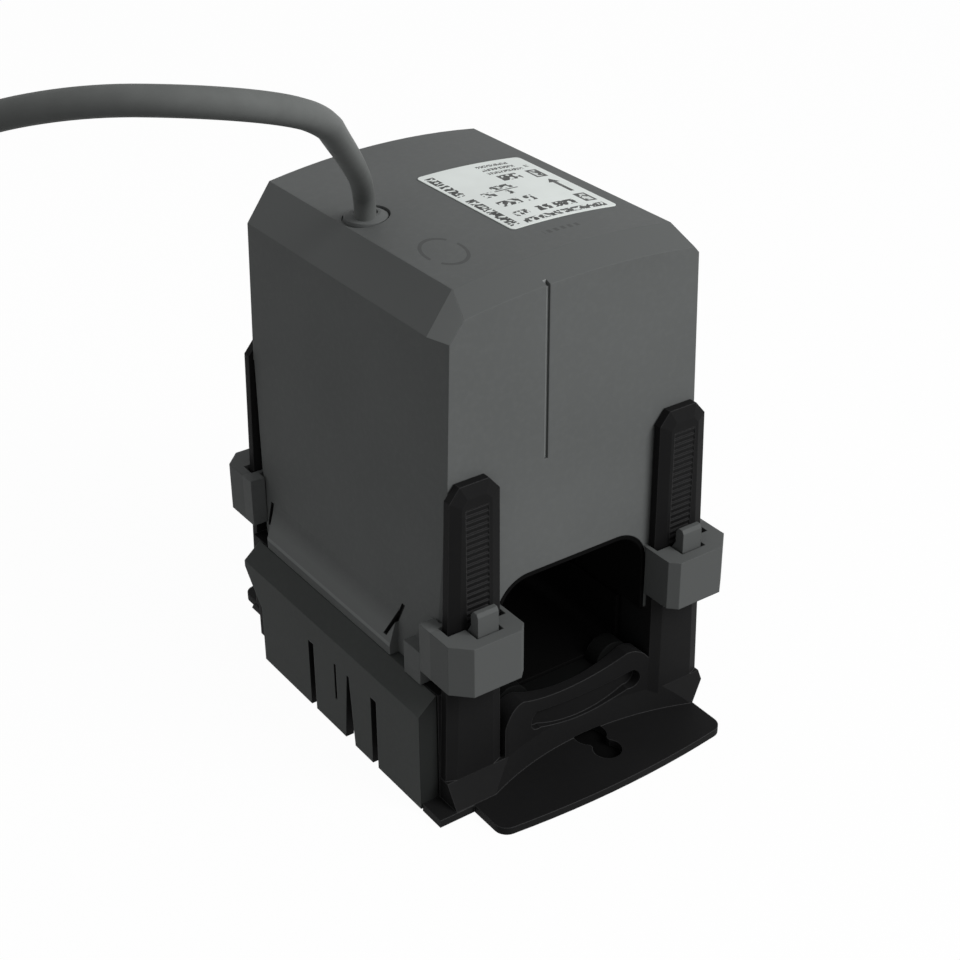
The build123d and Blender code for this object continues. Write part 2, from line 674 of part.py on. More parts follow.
# Leaf springs that press the lower core up against the upper one
with BuildPart() as yoke_springs:
    for y in (-SPRING_Y, SPRING_Y):
        with BuildSketch(Plane.XZ.offset(-y + SPRING_WIDTH / 2)):
            with BuildLine():
                rise = LOWER_YOKE_LOW - PLATE - SPRING
                lower = ThreePointArc(
                    (-SPRING_LENGTH / 2, PLATE), (0, PLATE + rise), (SPRING_LENGTH / 2, PLATE)
                )
                edge = Line(lower @ 1, (SPRING_LENGTH / 2, PLATE + SPRING))
                upper = ThreePointArc(
                    edge @ 1, (0, PLATE + rise + SPRING), (-SPRING_LENGTH / 2, PLATE + SPRING)
                )
                Line(upper @ 1, lower @ 0)
            make_face()
        extrude(amount=-SPRING_WIDTH)
save(yoke_springs.part, "yoke_springs")

# Upper housing: crowned shell with ears, pawls, ledges, hooks and the front groove
relief_blocks = []
for side, end in CORNERS:
    with BuildPart() as relief:
        low_x = HOUSING_FOOT_HALF + 1
        with BuildSketch(Plane.XY.offset(PARTING - 1)):
            with BuildLine():
                Polyline(
                    (side * low_x, end * (HOUSING_DEPTH + 1)),
                    (side * (low_x - 1 - CORNER_RELIEF), end * (HOUSING_DEPTH + 1)),
                    (side * (low_x - 1 - CORNER_RELIEF), end * HOUSING_DEPTH),
                    (side * low_x, end * (HOUSING_DEPTH - CORNER_RELIEF_LENGTH)),
                    close=True,
                )
            make_face()
        extrude(amount=ARM_TOP - ARM_SHOULDER - PARTING)
    relief_blocks.append(relief.part)

with BuildPart() as upper_housing:
    long_chamfer = (LONG_CHAMFER_WIDTH, LONG_CHAMFER_HEIGHT)
    front_chamfer = (FRONT_CHAMFER_WIDTH, FRONT_CHAMFER_HEIGHT)
    bevel_y = HOUSING_DEPTH - BEVEL_LENGTH
    extrude(roof_section(-bevel_y, PARTING, *long_chamfer, 0, 0), amount=-(bevel_y + HOUSING_DEPTH))
    front_end = roof_section(-HOUSING_DEPTH, PARTING, *front_chamfer, 0, BEVEL_DROP)
    loft([roof_section(-bevel_y, PARTING, *long_chamfer, 0, 0), front_end], ruled=True)
    add(relief_blocks, mode=Mode.SUBTRACT)
    for side in (-1, 1):
        root = wall_x(LEDGE_TOP) - WALL / 2
        ledge_start = min(-side * LEDGE_FRONT, -side * LEDGE_BACK)
        with BuildSketch(Plane.XZ.offset(-ledge_start)):
            with BuildLine():
                Polyline(
                    (side * root, PARTING),
                    (side * root, LEDGE_TOP),
                    (side * wall_x(LEDGE_TOP), LEDGE_TOP),
                    (side * LEDGE_REACH, PARTING + LEDGE_LIP),
                    (side * LEDGE_REACH, PARTING),
                    close=True,
                )
            make_face()
        extrude(amount=-(LEDGE_BACK - LEDGE_FRONT))
        add(quadrant_block(side, side, (root, HOOK_REACH), (HOOK_NEAR, HOOK_FAR), (PARTING, HOOK_HIGH)))
        for high_end, low_end in SLITS:
            with BuildSketch(Plane.YZ.offset(side * (wall_x(PARTING) - SLIT_DEPTH))):
                with BuildLine():
                    Polyline(
                        (-side * (high_end[0] - SLIT_WIDTH / 2), high_end[1]),
                        (-side * (high_end[0] + SLIT_WIDTH / 2), high_end[1]),
                        (-side * (low_end[0] + SLIT_WIDTH / 2), low_end[1]),
                        (-side * (low_end[0] - SLIT_WIDTH / 2), low_end[1]),
                        close=True,
                    )
                make_face()
            extrude(amount=side * 4 * SLIT_DEPTH, mode=Mode.SUBTRACT)
    for side, end in CORNERS:
        inner = INNER_HALF
        with BuildSketch(Plane.XY.offset(EAR_LOW)):
            with BuildLine():
                Polyline(
                    (side * inner, end * (HOUSING_DEPTH - WALL / 2)),
                    (side * inner, end * (EAR_FRONT - EAR_CORNER / 2)),
                    (side * (inner + EAR_CORNER / 2), end * EAR_FRONT),
                    (side * (EAR_OUTER - EAR_CORNER), end * EAR_FRONT),
                    (side * EAR_OUTER, end * (EAR_FRONT - EAR_CORNER)),
                    (side * EAR_OUTER, end * (HOUSING_DEPTH - EAR_LAP)),
                    (side * (EAR_OUTER - EAR_LAP), end * (HOUSING_DEPTH - EAR_LAP)),
                    (side * (EAR_OUTER - EAR_LAP), end * (HOUSING_DEPTH - WALL / 2)),
                    close=True,
                )
            make_face()
        extrude(amount=EAR_HIGH - EAR_LOW)
    cavity_y = HOUSING_DEPTH - WALL
    cavity = roof_section(-cavity_y, PARTING - 1, *long_chamfer, WALL, BEVEL_DROP / 2)
    extrude(cavity, amount=-2 * cavity_y, mode=Mode.SUBTRACT)
    through = HOUSING_DEPTH + 1
    extrude(window_section(-through, 0), amount=-2 * through, mode=Mode.SUBTRACT)
    for side, end in CORNERS:
        pocket_x = (ARM_INNER - SLIDE_FIT, ARM_OUTER + (ARM_TOP - EAR_LOW) * ARM_DRAFT + SLIDE_FIT)
        pocket_y = (HOUSING_DEPTH, ARM_FRONT + SLIDE_FIT)
        add(
            quadrant_block(side, end, pocket_x, pocket_y, (EAR_LOW - 1, EAR_HIGH + 1)),
            mode=Mode.SUBTRACT,
        )
        pawl_x = (PAWL_X - PAWL_WIDTH / 2, PAWL_X + PAWL_WIDTH / 2)
        pawl_y = (ARM_FRONT + PAWL_GAP, ARM_FRONT + PAWL_GAP + PAWL_THICKNESS)
        slot_x = (pawl_x[0] - PAWL_SLOT, pawl_x[1] + PAWL_SLOT)
        slot_y = (ARM_FRONT, pawl_y[1] + PAWL_SLOT)
        add(
            quadrant_block(side, end, slot_x, slot_y, (EAR_LOW + PAWL_ROOT, EAR_HIGH + 1)),
            mode=Mode.SUBTRACT,
        )
        with BuildSketch(Plane.YZ.offset(side * PAWL_X - PAWL_WIDTH / 2)):
            nose = ARM_FRONT + PAWL_NOSE_GAP
            with BuildLine():
                Polyline(
                    (end * pawl_y[0], EAR_LOW + PAWL_ROOT / 2),
                    (end * pawl_y[0], EAR_HIGH - 1.6),
                    (end * nose, EAR_HIGH - 1.2),
                    (end * nose, EAR_HIGH - 0.6),
                    (end * pawl_y[0], EAR_HIGH + 1.4),
                    (end * pawl_y[0], PAWL_TOP - 1.0),
                    (end * (pawl_y[0] + 0.8), PAWL_TOP),
                    (end * (pawl_y[1] - 0.5), PAWL_TOP),
                    (end * pawl_y[1], PAWL_TOP - 0.8),
                    (end * pawl_y[1], EAR_LOW + PAWL_ROOT / 2),
                    close=True,
                )
            make_face()
        extrude(amount=PAWL_WIDTH)
    groove_low = (GROOVE_X - GROOVE_WIDTH / 2, -HOUSING_DEPTH - 1, GROOVE_LOW)
    groove_high = (GROOVE_X + GROOVE_WIDTH / 2, GROOVE_DEPTH - HOUSING_DEPTH, CROWN)
    add(block(groove_low, groove_high), mode=Mode.SUBTRACT)
    bevel_low = (groove_low[0], groove_low[1], GROOVE_HIGH)
    add(block(bevel_low, (groove_high[0], GROOVE_ON_BEVEL - HOUSING_DEPTH, CROWN)), mode=Mode.SUBTRACT)
    with Locations((EXIT_X, EXIT_Y, ROOF_SEAT)):
        Cylinder(GROMMET_RADIUS + FLAT_FIT, 4 * WALL, mode=Mode.SUBTRACT)
    with Locations((EXIT_X, EXIT_Y, ROOF_SEAT + WALL)):
        Cylinder(COUNTERBORE, 2 * WALL, mode=Mode.SUBTRACT)
save(upper_housing.part, "upper_housing")

# Inner cover: window liner with a floor that closes the upper housing round the limbs
with BuildPart() as inner_cover:
    extrude(window_section(-HOUSING_DEPTH, FLAT_FIT), amount=-2 * HOUSING_DEPTH)
    with BuildSketch(Plane.XY.offset(PARTING)):
        Rectangle(2 * (HOUSING_FOOT_HALF - WALL - FIT), 2 * (HOUSING_DEPTH - WALL - FIT))
    extrude(amount=WALL)
    inner_window = window_section(-through, LINER_WALL + FLAT_FIT)
    extrude(inner_window, amount=-2 * through, mode=Mode.SUBTRACT)
    with Locations((0, 0, PARTING / 2)):
        Box(4 * WINDOW_HALF, 4 * HOUSING_DEPTH, PARTING, mode=Mode.SUBTRACT)
    for side in (-1, 1):
        with Locations((side * (LIMB_INNER + LIMB_WIDTH / 2), 0, PARTING)):
            Box(LIMB_WIDTH + 2 * FIT, 2 * (STACK_HALF + FIT), 4 * WALL, mode=Mode.SUBTRACT)
save(inner_cover.part, "inner_cover")

# Coil on the upper yoke: bobbin, winding and wrap

def ring_sketch(outer, inner):
    """A rectangular ring about the upper yoke, as two offsets from the yoke's section."""
    with Locations((0, (YOKE_LOW + YOKE_HIGH) / 2)):
        Rectangle(2 * (STACK_HALF + outer), YOKE + 2 * outer)
        Rectangle(2 * (STACK_HALF + inner), YOKE + 2 * inner, mode=Mode.SUBTRACT)


with BuildPart() as bobbin:
    tube_outer = FIT + BOBBIN_WALL
    with BuildSketch(Plane.YZ.offset(-BOBBIN_HALF)):
        ring_sketch(tube_outer, FIT)
    extrude(amount=2 * BOBBIN_HALF)
    for start in (-BOBBIN_HALF, BOBBIN_HALF - BOBBIN_FLANGE):
        with BuildSketch(Plane.YZ.offset(start)):
            ring_sketch(tube_outer + WINDING + FLANGE_RISE, FIT)
        extrude(amount=BOBBIN_FLANGE)
save(bobbin.part, "bobbin")

with BuildPart() as secondary_winding:
    with BuildSketch(Plane.YZ.offset(BOBBIN_FLANGE - BOBBIN_HALF)):
        ring_sketch(FIT + BOBBIN_WALL + WINDING, FIT + BOBBIN_WALL)
    extrude(amount=2 * (BOBBIN_HALF - BOBBIN_FLANGE))
save(secondary_winding.part, "secondary_winding")

with BuildPart() as winding_wrap:
    with BuildSketch(Plane.YZ.offset(BOBBIN_FLANGE - BOBBIN_HALF)):
        ring_sketch(FIT + BOBBIN_WALL + WINDING + WRAP, FIT + BOBBIN_WALL + WINDING)
    extrude(amount=2 * (BOBBIN_HALF - BOBBIN_FLANGE))
save(winding_wrap.part, "winding_wrap")

# Rating label: a thin sheet that follows the crown of the housing
with BuildPart() as rating_label:
    with BuildSketch(Plane.XZ.offset(HOUSING_DEPTH)):
        eaves_half = wall_x(EAVES) - LONG_CHAMFER_WIDTH
        with BuildLine():
            right_end = (wall_x(EAVES) - SHORT_CHAMFER_WIDTH, EAVES + RIGHT_RISE)
            low = ThreePointArc((-eaves_half, EAVES), (0, CROWN), right_end)
            right = Line(low @ 1, (low @ 1) + Vector(0, LABEL_SHEET))
            high = ThreePointArc(right @ 1, (0, CROWN + LABEL_SHEET), (-eaves_half, EAVES + LABEL_SHEET))
            Line(high @ 1, low @ 0)
        make_face()
    extrude(amount=-2 * HOUSING_DEPTH)
    with BuildSketch(Plane.XY.offset(EAVES - 1)):
        with Locations((LABEL_X, LABEL_Y)):
            RectangleRounded(LABEL_WIDTH, LABEL_LENGTH, LABEL_ROUND)
    extrude(amount=CROWN - EAVES + 2, mode=Mode.INTERSECT)
save(rating_label.part, "rating_label")

# Grommet in the roof and the tie that stops the lead pulling out
with BuildPart() as cable_grommet:
    with BuildSketch(Plane.XZ.offset(-EXIT_Y)):
        with BuildLine():
            Polyline(
                (EXIT_X + CORD / 2 + FIT, GROMMET_LOW),
                (EXIT_X + GROMMET_RADIUS, GROMMET_LOW),
                (EXIT_X + GROMMET_RADIUS, ROOF_SEAT),
                (EXIT_X + COLLAR_RADIUS, ROOF_SEAT),
                (EXIT_X + COLLAR_RADIUS, ROOF_SEAT + 1.0),
                (EXIT_X + GROMMET_RADIUS - 0.5, GROMMET_HIGH),
                (EXIT_X + CORD / 2 + FIT, GROMMET_HIGH),
                close=True,
            )
        make_face()
    revolve(axis=Axis((EXIT_X, EXIT_Y, 0), (0, 0, 1)))
save(cable_grommet.part, "cable_grommet")

with BuildPart() as strain_tie:
    with BuildSketch(Plane.XY.offset(GROMMET_LOW - STRAIN_TIE)):
        with Locations((EXIT_X, EXIT_Y)):
            Circle(CORD / 2 + STRAIN_TIE_WALL)
        with Locations((EXIT_X, EXIT_Y + CORD / 2 + STRAIN_TIE_WALL)):
            Rectangle(3.6, 3.0)
        with Locations((EXIT_X, EXIT_Y)):
            Circle(CORD / 2 + FLAT_FIT, mode=Mode.SUBTRACT)
    extrude(amount=STRAIN_TIE)
save(strain_tie.part, "strain_tie")


def report_bends(name, points, radii):
    """Print the arc radii of a route so that its bends can be judged."""
    length = sum((Vector(*b) - Vector(*a)).length for a, b in zip(points, points[1:]))
    print(name, "runs add up to", round(length, 1), "radii", [round(r, 1) for r in radii])


def bend_radii(points):
    """For each inner point, 0.45 of the shorter run over the tangent of half the turn."""
    radii = []
    for before, at, after in zip(points, points[1:], points[2:]):
        run_in = Vector(*at) - Vector(*before)
        run_out = Vector(*after) - Vector(*at)
        half_turn = math.radians(run_in.get_angle(run_out)) / 2
        radii.append(0.45 * min(run_in.length, run_out.length) / math.tan(half_turn))
    return radii


def tube(points, diameter, name):
    """A round tube along straight runs joined by tangent arcs."""
    radii = bend_radii(points)
    report_bends(name, points, radii)
    with BuildPart() as swept:
        with BuildLine():
            path = FilletPolyline(*points, radius=radii) if radii else Line(*points)
        with BuildSketch(Plane(origin=path @ 0, z_dir=path % 0)):
            Circle(diameter / 2)
        sweep(path=path)
    print(name, "volume over section times length", round(swept.part.volume / (
        math.pi * diameter**2 / 4 * path.length), 4))
    return swept.part


# Output lead: out of the roof, over in one free arch, down to the ground and into its coil
coil_turn = COIL_TURN_RADIUS + CORD
coil_outer = coil_turn + CORD / 2
coil_inner = COIL_TURN_RADIUS - CORD - CORD / 2
entry_y = COIL_Y - COIL_ENTRY
CORD_ROUTE = [
    (EXIT_X, EXIT_Y, JACKET_END),
    (EXIT_X, EXIT_Y, 118.0),
    (-23.2, 2.2, 128.3),
    (-33.5, -12.0, 137.5),
    (-47.0, -31.5, 147.0),
    (-59.5, -49.0, 156.0),
    (-70.5, -62.0, 164.5),
    (-82.5, -68.5, 170.5),
    (-96.0, -67.0, 174.0),
    (-108.0, -58.5, 173.5),
    (-116.0, -45.0, 169.0),
    (-120.8, -29.0, 159.5),
    (-122.7, -13.0, 144.5),
    (-122.4, -0.6, 125.5),
    (-121.0, 10.7, 104.0),
    (-118.7, 21.0, 81.0),
    (-115.7, 29.8, 58.0),
    (-112.5, 38.1, 35.1),
    (-110.4, 46.0, 17.0),
    (-109.0, 55.4, 7.1),
    (COIL_X + coil_turn, 67.0, CORD / 2),
    (COIL_X + coil_turn, entry_y, CORD / 2),
]
cord = tube(CORD_ROUTE, CORD, "cord")
save(cord, "cord")

with BuildPart() as cord_coil:
    with BuildSketch():
        with Locations((COIL_X, COIL_Y)):
            Circle(coil_outer)
            Circle(coil_inner, mode=Mode.SUBTRACT)
    extrude(amount=COIL_HEIGHT)
    fillet(cord_coil.edges(), CORD / 2 - 0.1)
    for side in (-1, 1):
        near = side * (coil_turn - CORD / 2 - FIT)
        far = side * (coil_turn + CORD)
        entry_x = sorted((COIL_X + near, COIL_X + far))
        entry_top = COIL_HEIGHT + 1 if side == 1 else CORD + FIT
        entry = block((entry_x[0], COIL_Y - 2 * coil_outer, -1), (entry_x[1], entry_y, entry_top))
        add(entry, mode=Mode.SUBTRACT)
    tie_low = (COIL_X - COIL_TIE_WIDTH / 2 - FIT, COIL_Y + coil_inner - CORD, -1)
    tie_high = (COIL_X + COIL_TIE_WIDTH / 2 + FIT, COIL_Y + coil_outer + CORD, COIL_HEIGHT + 1)
    kept_low = (COIL_X - COIL_TIE_WIDTH, COIL_Y + coil_inner + COIL_TIE, COIL_TIE)
    kept_high = (COIL_X + COIL_TIE_WIDTH, COIL_Y + coil_outer - COIL_TIE, COIL_HEIGHT - COIL_TIE)
    add(block(tie_low, tie_high) - block(kept_low, kept_high), mode=Mode.SUBTRACT)
save(cord_coil.part, "cord_coil")

with BuildPart() as coil_tie:
    add(
        block(
            (COIL_X - COIL_TIE_WIDTH / 2, COIL_Y + coil_inner, 0),
            (COIL_X + COIL_TIE_WIDTH / 2, COIL_Y + coil_outer, COIL_HEIGHT),
        )
    )
    add(block(kept_low, kept_high), mode=Mode.SUBTRACT)
save(coil_tie.part, "coil_tie")

# Far end of the lead: a stripped end with two conductors in crimped ferrules
tail_x = COIL_X - coil_turn
tail_start = entry_y
tail_end = tail_start - TAIL_LENGTH
TAIL_ROUTE = [
    (tail_x, tail_start, CORD / 2),
    (tail_x, tail_start - TAIL_LENGTH / 2, CORD / 2),
    (tail_x + 4.0, tail_end, CORD / 2),
]
cord_tail = tube(TAIL_ROUTE, CORD, "cord_tail")
save(cord_tail, "cord_tail")
tail_way = (Vector(*TAIL_ROUTE[2]) - Vector(*TAIL_ROUTE[1])).normalized()
tail_across = Vector(-tail_way.Y, tail_way.X, 0)
for label, side in (("brown", -1), ("blue", 1)):
    root = Vector(*TAIL_ROUTE[2]) + tail_across * side * WIRE_OFFSET
    bend = root + tail_way * WIRE_LENGTH / 2
    end_point = bend + tail_way * WIRE_LENGTH / 2 + tail_across * side * WIRE_SPLAY
    wire = tube([tuple(root), tuple(bend), tuple(end_point)], WIRE, f"tail_wire_{label}")
    save(wire, f"tail_wire_{label}")
    run = (end_point - bend).normalized()
    with BuildPart() as ferrule:
        with BuildSketch(Plane(origin=end_point, z_dir=run)):
            Circle(FERRULE_COLLAR / 2)
        extrude(amount=FERRULE_COLLAR_LENGTH, taper=6)
        with BuildSketch(Plane(origin=end_point + run * FERRULE_COLLAR_LENGTH, z_dir=run)):
            Circle(FERRULE_PIN / 2)
        extrude(amount=FERRULE_PIN_LENGTH)
    save(ferrule.part, f"ferrule_{label}")

# Conductors inside the housing: from the stripped jacket to sleeves that lie on the wrap
bed = COIL_TOP + WRAP
for label, side in (("brown", -1), ("blue", 1)):
    sleeve_y = EXIT_Y + side * 4.0
    sleeve_z = bed + SPLICE / 2
    start = (EXIT_X, EXIT_Y + side * WIRE_OFFSET, JACKET_END)
    down = (EXIT_X, EXIT_Y + side * WIRE_OFFSET, JACKET_END - 2.6)
    in_line = (SPLICE_X - 4.5, sleeve_y, sleeve_z)
    sleeve_start = (SPLICE_X, sleeve_y, sleeve_z)
    inner_wire = tube([start, down, in_line, sleeve_start], WIRE, f"wire_{label}")
    save(inner_wire, f"wire_{label}")
    with BuildPart() as sleeve:
        with BuildSketch(Plane.YZ.offset(SPLICE_X)):
            with Locations((sleeve_y, sleeve_z)):
                Circle(SPLICE / 2)
        extrude(amount=SPLICE_LENGTH)
        fillet(sleeve.edges(), SPLICE / 6)
    save(sleeve.part, f"splice_{label}")
    sleeve_end = SPLICE_X + SPLICE_LENGTH
    lead_route = [
        (sleeve_end, sleeve_y, sleeve_z),
        (sleeve_end + 4.0, sleeve_y, sleeve_z),
        (BOBBIN_HALF - 4.0, sleeve_y + side * 2.5, bed + WIRE / 2),
    ]
    save(tube(lead_route, WIRE, f"lead_{label}"), f"lead_{label}")
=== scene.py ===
"""Looks of a split-core current transformer: moulded plastics, printed label, output lead and studio."""

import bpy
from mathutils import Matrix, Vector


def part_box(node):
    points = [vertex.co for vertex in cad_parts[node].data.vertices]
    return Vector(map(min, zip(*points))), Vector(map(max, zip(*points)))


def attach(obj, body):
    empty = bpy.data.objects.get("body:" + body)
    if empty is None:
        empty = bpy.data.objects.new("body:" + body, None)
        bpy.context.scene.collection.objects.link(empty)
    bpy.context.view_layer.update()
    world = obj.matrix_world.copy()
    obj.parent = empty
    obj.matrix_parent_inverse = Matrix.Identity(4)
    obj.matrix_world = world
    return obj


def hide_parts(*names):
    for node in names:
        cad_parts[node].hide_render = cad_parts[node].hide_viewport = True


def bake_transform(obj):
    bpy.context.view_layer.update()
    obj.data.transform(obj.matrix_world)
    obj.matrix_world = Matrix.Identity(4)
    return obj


bl_info = {
    "name": "Split-Core Current Transformer",
    "version": (1, 0, 0),
    "blender": (4, 5, 0),
    "location": "View3D > Sidebar > Transformer",
    "description": "Finishes the mouldings, core, label and lead of a split-core current transformer",
    "category": "Object",
}

import bpy
import numpy as np
from mathutils import Matrix, Vector

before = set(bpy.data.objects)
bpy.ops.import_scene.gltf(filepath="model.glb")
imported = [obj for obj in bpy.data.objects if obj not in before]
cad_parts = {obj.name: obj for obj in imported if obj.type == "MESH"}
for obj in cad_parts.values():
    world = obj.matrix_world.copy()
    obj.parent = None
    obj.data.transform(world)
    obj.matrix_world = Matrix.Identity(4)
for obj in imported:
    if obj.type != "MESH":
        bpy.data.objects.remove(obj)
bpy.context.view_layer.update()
MM = 0.001


# Settings that a user may change


class MouldingSettings(bpy.types.PropertyGroup):
    """Plastics of the housing, the cover and the frame."""

    housing_colour: bpy.props.FloatVectorProperty(
        name="Housing", description="Colour of the upper housing", size=3, subtype="COLOR",
        min=0.0, max=1.0, default=(0.11, 0.115, 0.114))
    cover_colour: bpy.props.FloatVectorProperty(
        name="Cover", description="Colour of the lower cover", size=3, subtype="COLOR",
        min=0.0, max=1.0, default=(0.051, 0.0545, 0.053))
    frame_colour: bpy.props.FloatVectorProperty(
        name="Frame", description="Colour of the base frame and its arms", size=3, subtype="COLOR",
        min=0.0, max=1.0, default=(0.0103, 0.0103, 0.0105))
    liner_colour: bpy.props.FloatVectorProperty(
        name="Liner", description="Colour of the window liner", size=3, subtype="COLOR",
        min=0.0, max=1.0, default=(0.0025, 0.0025, 0.0025))
    spark_grain: bpy.props.FloatProperty(
        name="Spark grain", description="Size of the eroded grain of the mould", subtype="DISTANCE",
        unit="LENGTH", min=0.0001, max=0.002, default=0.00045)
    spark_depth: bpy.props.FloatProperty(
        name="Spark depth", description="Depth of the eroded grain", subtype="DISTANCE", unit="LENGTH",
        min=0.0, max=0.0002, default=0.000012)
    edge_radius: bpy.props.FloatProperty(
        name="Edge radius", description="Radius of the moulded edges", subtype="DISTANCE", unit="LENGTH",
        min=0.0, max=0.001, default=0.0003)


class LabelSettings(bpy.types.PropertyGroup):
    """Rating label on the roof."""

    film_colour: bpy.props.FloatVectorProperty(
        name="Film", description="Colour of the label film", size=3, subtype="COLOR",
        min=0.0, max=1.0, default=(0.71, 0.75, 0.73))
    ink_colour: bpy.props.FloatVectorProperty(
        name="Ink", description="Colour of the printed fields", size=3, subtype="COLOR",
        min=0.0, max=1.0, default=(0.009, 0.011, 0.009))


class LeadSettings(bpy.types.PropertyGroup):
    """Output lead and what is on it."""

    diameter: bpy.props.FloatProperty(
        name="Diameter", description="Outer diameter of the jacket", subtype="DISTANCE", unit="LENGTH",
        min=0.002, max=0.012, default=0.0045)
    jacket_colour: bpy.props.FloatVectorProperty(
        name="Jacket", description="Colour of the jacket", size=3, subtype="COLOR",
        min=0.0, max=1.0, default=(0.128, 0.134, 0.131))
    points_per_turn: bpy.props.IntProperty(
        name="Points per turn", description="Control points of one turn of the coil", min=12, max=24,
        default=12)


class CoreSettings(bpy.types.PropertyGroup):
    """Core, springs and coil inside the housing."""

    lamination: bpy.props.FloatProperty(
        name="Lamination", description="Thickness of one core sheet", subtype="DISTANCE", unit="LENGTH",
        min=0.0002, max=0.001, default=0.0003)
    wire_pitch: bpy.props.FloatProperty(
        name="Wire pitch", description="Distance from turn to turn of the winding", subtype="DISTANCE",
        unit="LENGTH", min=0.0002, max=0.002, default=0.0006)


class StageSettings(bpy.types.PropertyGroup):
    """Camera, lamps and floor."""

    lens: bpy.props.FloatProperty(
        name="Lens", description="Focal length of the camera", subtype="DISTANCE_CAMERA", unit="CAMERA",
        min=20.0, max=200.0, default=68.24)
    key_power: bpy.props.FloatProperty(
        name="Key", description="Power of the key lamp", subtype="POWER", unit="POWER", min=0.0, max=50.0,
        default=7.1)
    sky_level: bpy.props.FloatProperty(
        name="Sky", description="Level of the even light from all round", subtype="FACTOR", min=0.0, max=2.0,
        default=0.42)


# Shader maths


class Field:
    """A value at each point of a surface: a socket, with arithmetic that adds Math nodes."""

    def __init__(self, finish, socket):
        self.finish = finish
        self.socket = socket

    def _math(self, operation, *values):
        return self.finish.node("ShaderNodeMath", {"operation": operation}, *values)

    def __add__(self, other):
        return self._math("ADD", self, other)

    def __radd__(self, other):
        return self._math("ADD", other, self)

    def __sub__(self, other):
        return self._math("SUBTRACT", self, other)

    def __rsub__(self, other):
        return self._math("SUBTRACT", other, self)

    def __mul__(self, other):
        return self._math("MULTIPLY", self, other)

    def __rmul__(self, other):
        return self._math("MULTIPLY", other, self)

    def __truediv__(self, other):
        return self._math("DIVIDE", self, other)

    def __gt__(self, other):
        return self._math("GREATER_THAN", self, other)

    def __lt__(self, other):
        return self._math("LESS_THAN", self, other)

    def __abs__(self):
        return self._math("ABSOLUTE", self)

    def power(self, exponent):
        return self._math("POWER", self, exponent)

    def sine(self):
        return self._math("SINE", self)

    def most(self, other):
        return self._math("MAXIMUM", self, other)

    def between(self, low, high):
        """Rises evenly from 0 at low to 1 at high, and stays there."""
        return self.finish.node("ShaderNodeMapRange", {"clamp": True}, self, low, high, 0.0, 1.0)


class Finish:
    """A material being written: its node tree and the shader at its end."""

    def __init__(self, name):
        self.material = bpy.data.materials.new(name)
        self.material.use_nodes = True
        self.tree = self.material.node_tree
        self.shader = self.tree.nodes["Principled BSDF"]

    def node(self, kind, settings=None, *values, output=0, **named):
        """Add a node: its settings first, then the values or links of its sockets."""
        made = self.tree.nodes.new(kind)
        for key, value in (settings or {}).items():
            setattr(made, key, value)
        for index, value in list(enumerate(values)) + list(named.items()):
            if isinstance(index, str):
                index = index.replace("_", " ")
            self.feed(made.inputs[index], value)
        return Field(self, made.outputs[output])

    def feed(self, socket, value):
        """Link a Field to a socket, or set the socket's own value."""
        if isinstance(value, Field):
            self.tree.links.new(value.socket, socket)
        elif value is not None:
            socket.default_value = value

    def place(self):
        """Object coordinates, which are metres of the shared frame."""
        return self.node("ShaderNodeTexCoord", output="Object")

    def axes(self):
        """The three object coordinates as numbers in millimetres."""
        split = self.node("ShaderNodeSeparateXYZ", None, self.place())
        outputs = split.socket.node.outputs
        return [Field(self, outputs[name]) * 1000.0 for name in "XYZ"]

    def facing(self):
        """The three parts of the direction that a face points in."""
        normal = self.node("ShaderNodeNewGeometry", output="True Normal")
        outputs = self.node("ShaderNodeSeparateXYZ", None, normal).socket.node.outputs
        return [Field(self, outputs[name]) for name in "XYZ"]

    def noise(self, size, detail=3.0, rough=0.5, vector=None):
        """Noise with features of about the given size in metres."""
        vector = vector or self.place()
        return self.node("ShaderNodeTexNoise", {"noise_dimensions": "3D"}, Vector=vector,
                         Scale=1.0 / size, Detail=detail, Roughness=rough)

    def mix(self, factor, first, second):
        """Blend two colours by a factor."""
        made = self.tree.nodes.new("ShaderNodeMix")
        made.data_type = "RGBA"
        for index, value in ((0, factor), (6, first), (7, second)):
            if isinstance(value, tuple) and len(value) == 3:
                value = (*value, 1.0)
            self.feed(made.inputs[index], value)
        return Field(self, made.outputs[2])

    def surface(self, colour, roughness, specular=0.5, metallic=0.0, normal=None, **constants):
        """Feed the shader; names with underscores are sockets with one value all over."""
        if isinstance(colour, tuple):
            colour = (*colour[:3], 1.0)
        self.feed(self.shader.inputs["Base Color"], colour)
        self.feed(self.shader.inputs["Roughness"], roughness)
        self.feed(self.shader.inputs["Metallic"], metallic)
        self.feed(self.shader.inputs["Specular IOR Level"], specular)
        for name, value in constants.items():
            self.feed(self.shader.inputs[name.replace("_", " ")], value)
        if normal is not None:
            self.feed(self.shader.inputs["Normal"], normal)
        return self.material

    def soft_edges(self, radius):
        """Normal that rounds every edge by the given radius."""
        return self.node("ShaderNodeBevel", {"samples": 6}, radius)

    def edge_mask(self, soft):
        """1 on the edges, where the rounded normal leaves the face's own, and 0 on the flats."""
        flat = self.node("ShaderNodeNewGeometry", output="True Normal")
        same = self.node("ShaderNodeVectorMath", {"operation": "DOT_PRODUCT"}, soft, flat, output="Value")
        return (1.0 - same).between(0.01, 0.2)

    def bump(self, height, distance, normal=None):
        """Normal of a relief that is as deep as distance where height goes from 0 to 1."""
        return self.node("ShaderNodeBump", None, Height=height, Distance=distance, Normal=normal)


def shade(colour, factor):
    """A colour made darker or lighter by a plain factor."""
    return tuple(min(1.0, channel * factor) for channel in colour[:3])


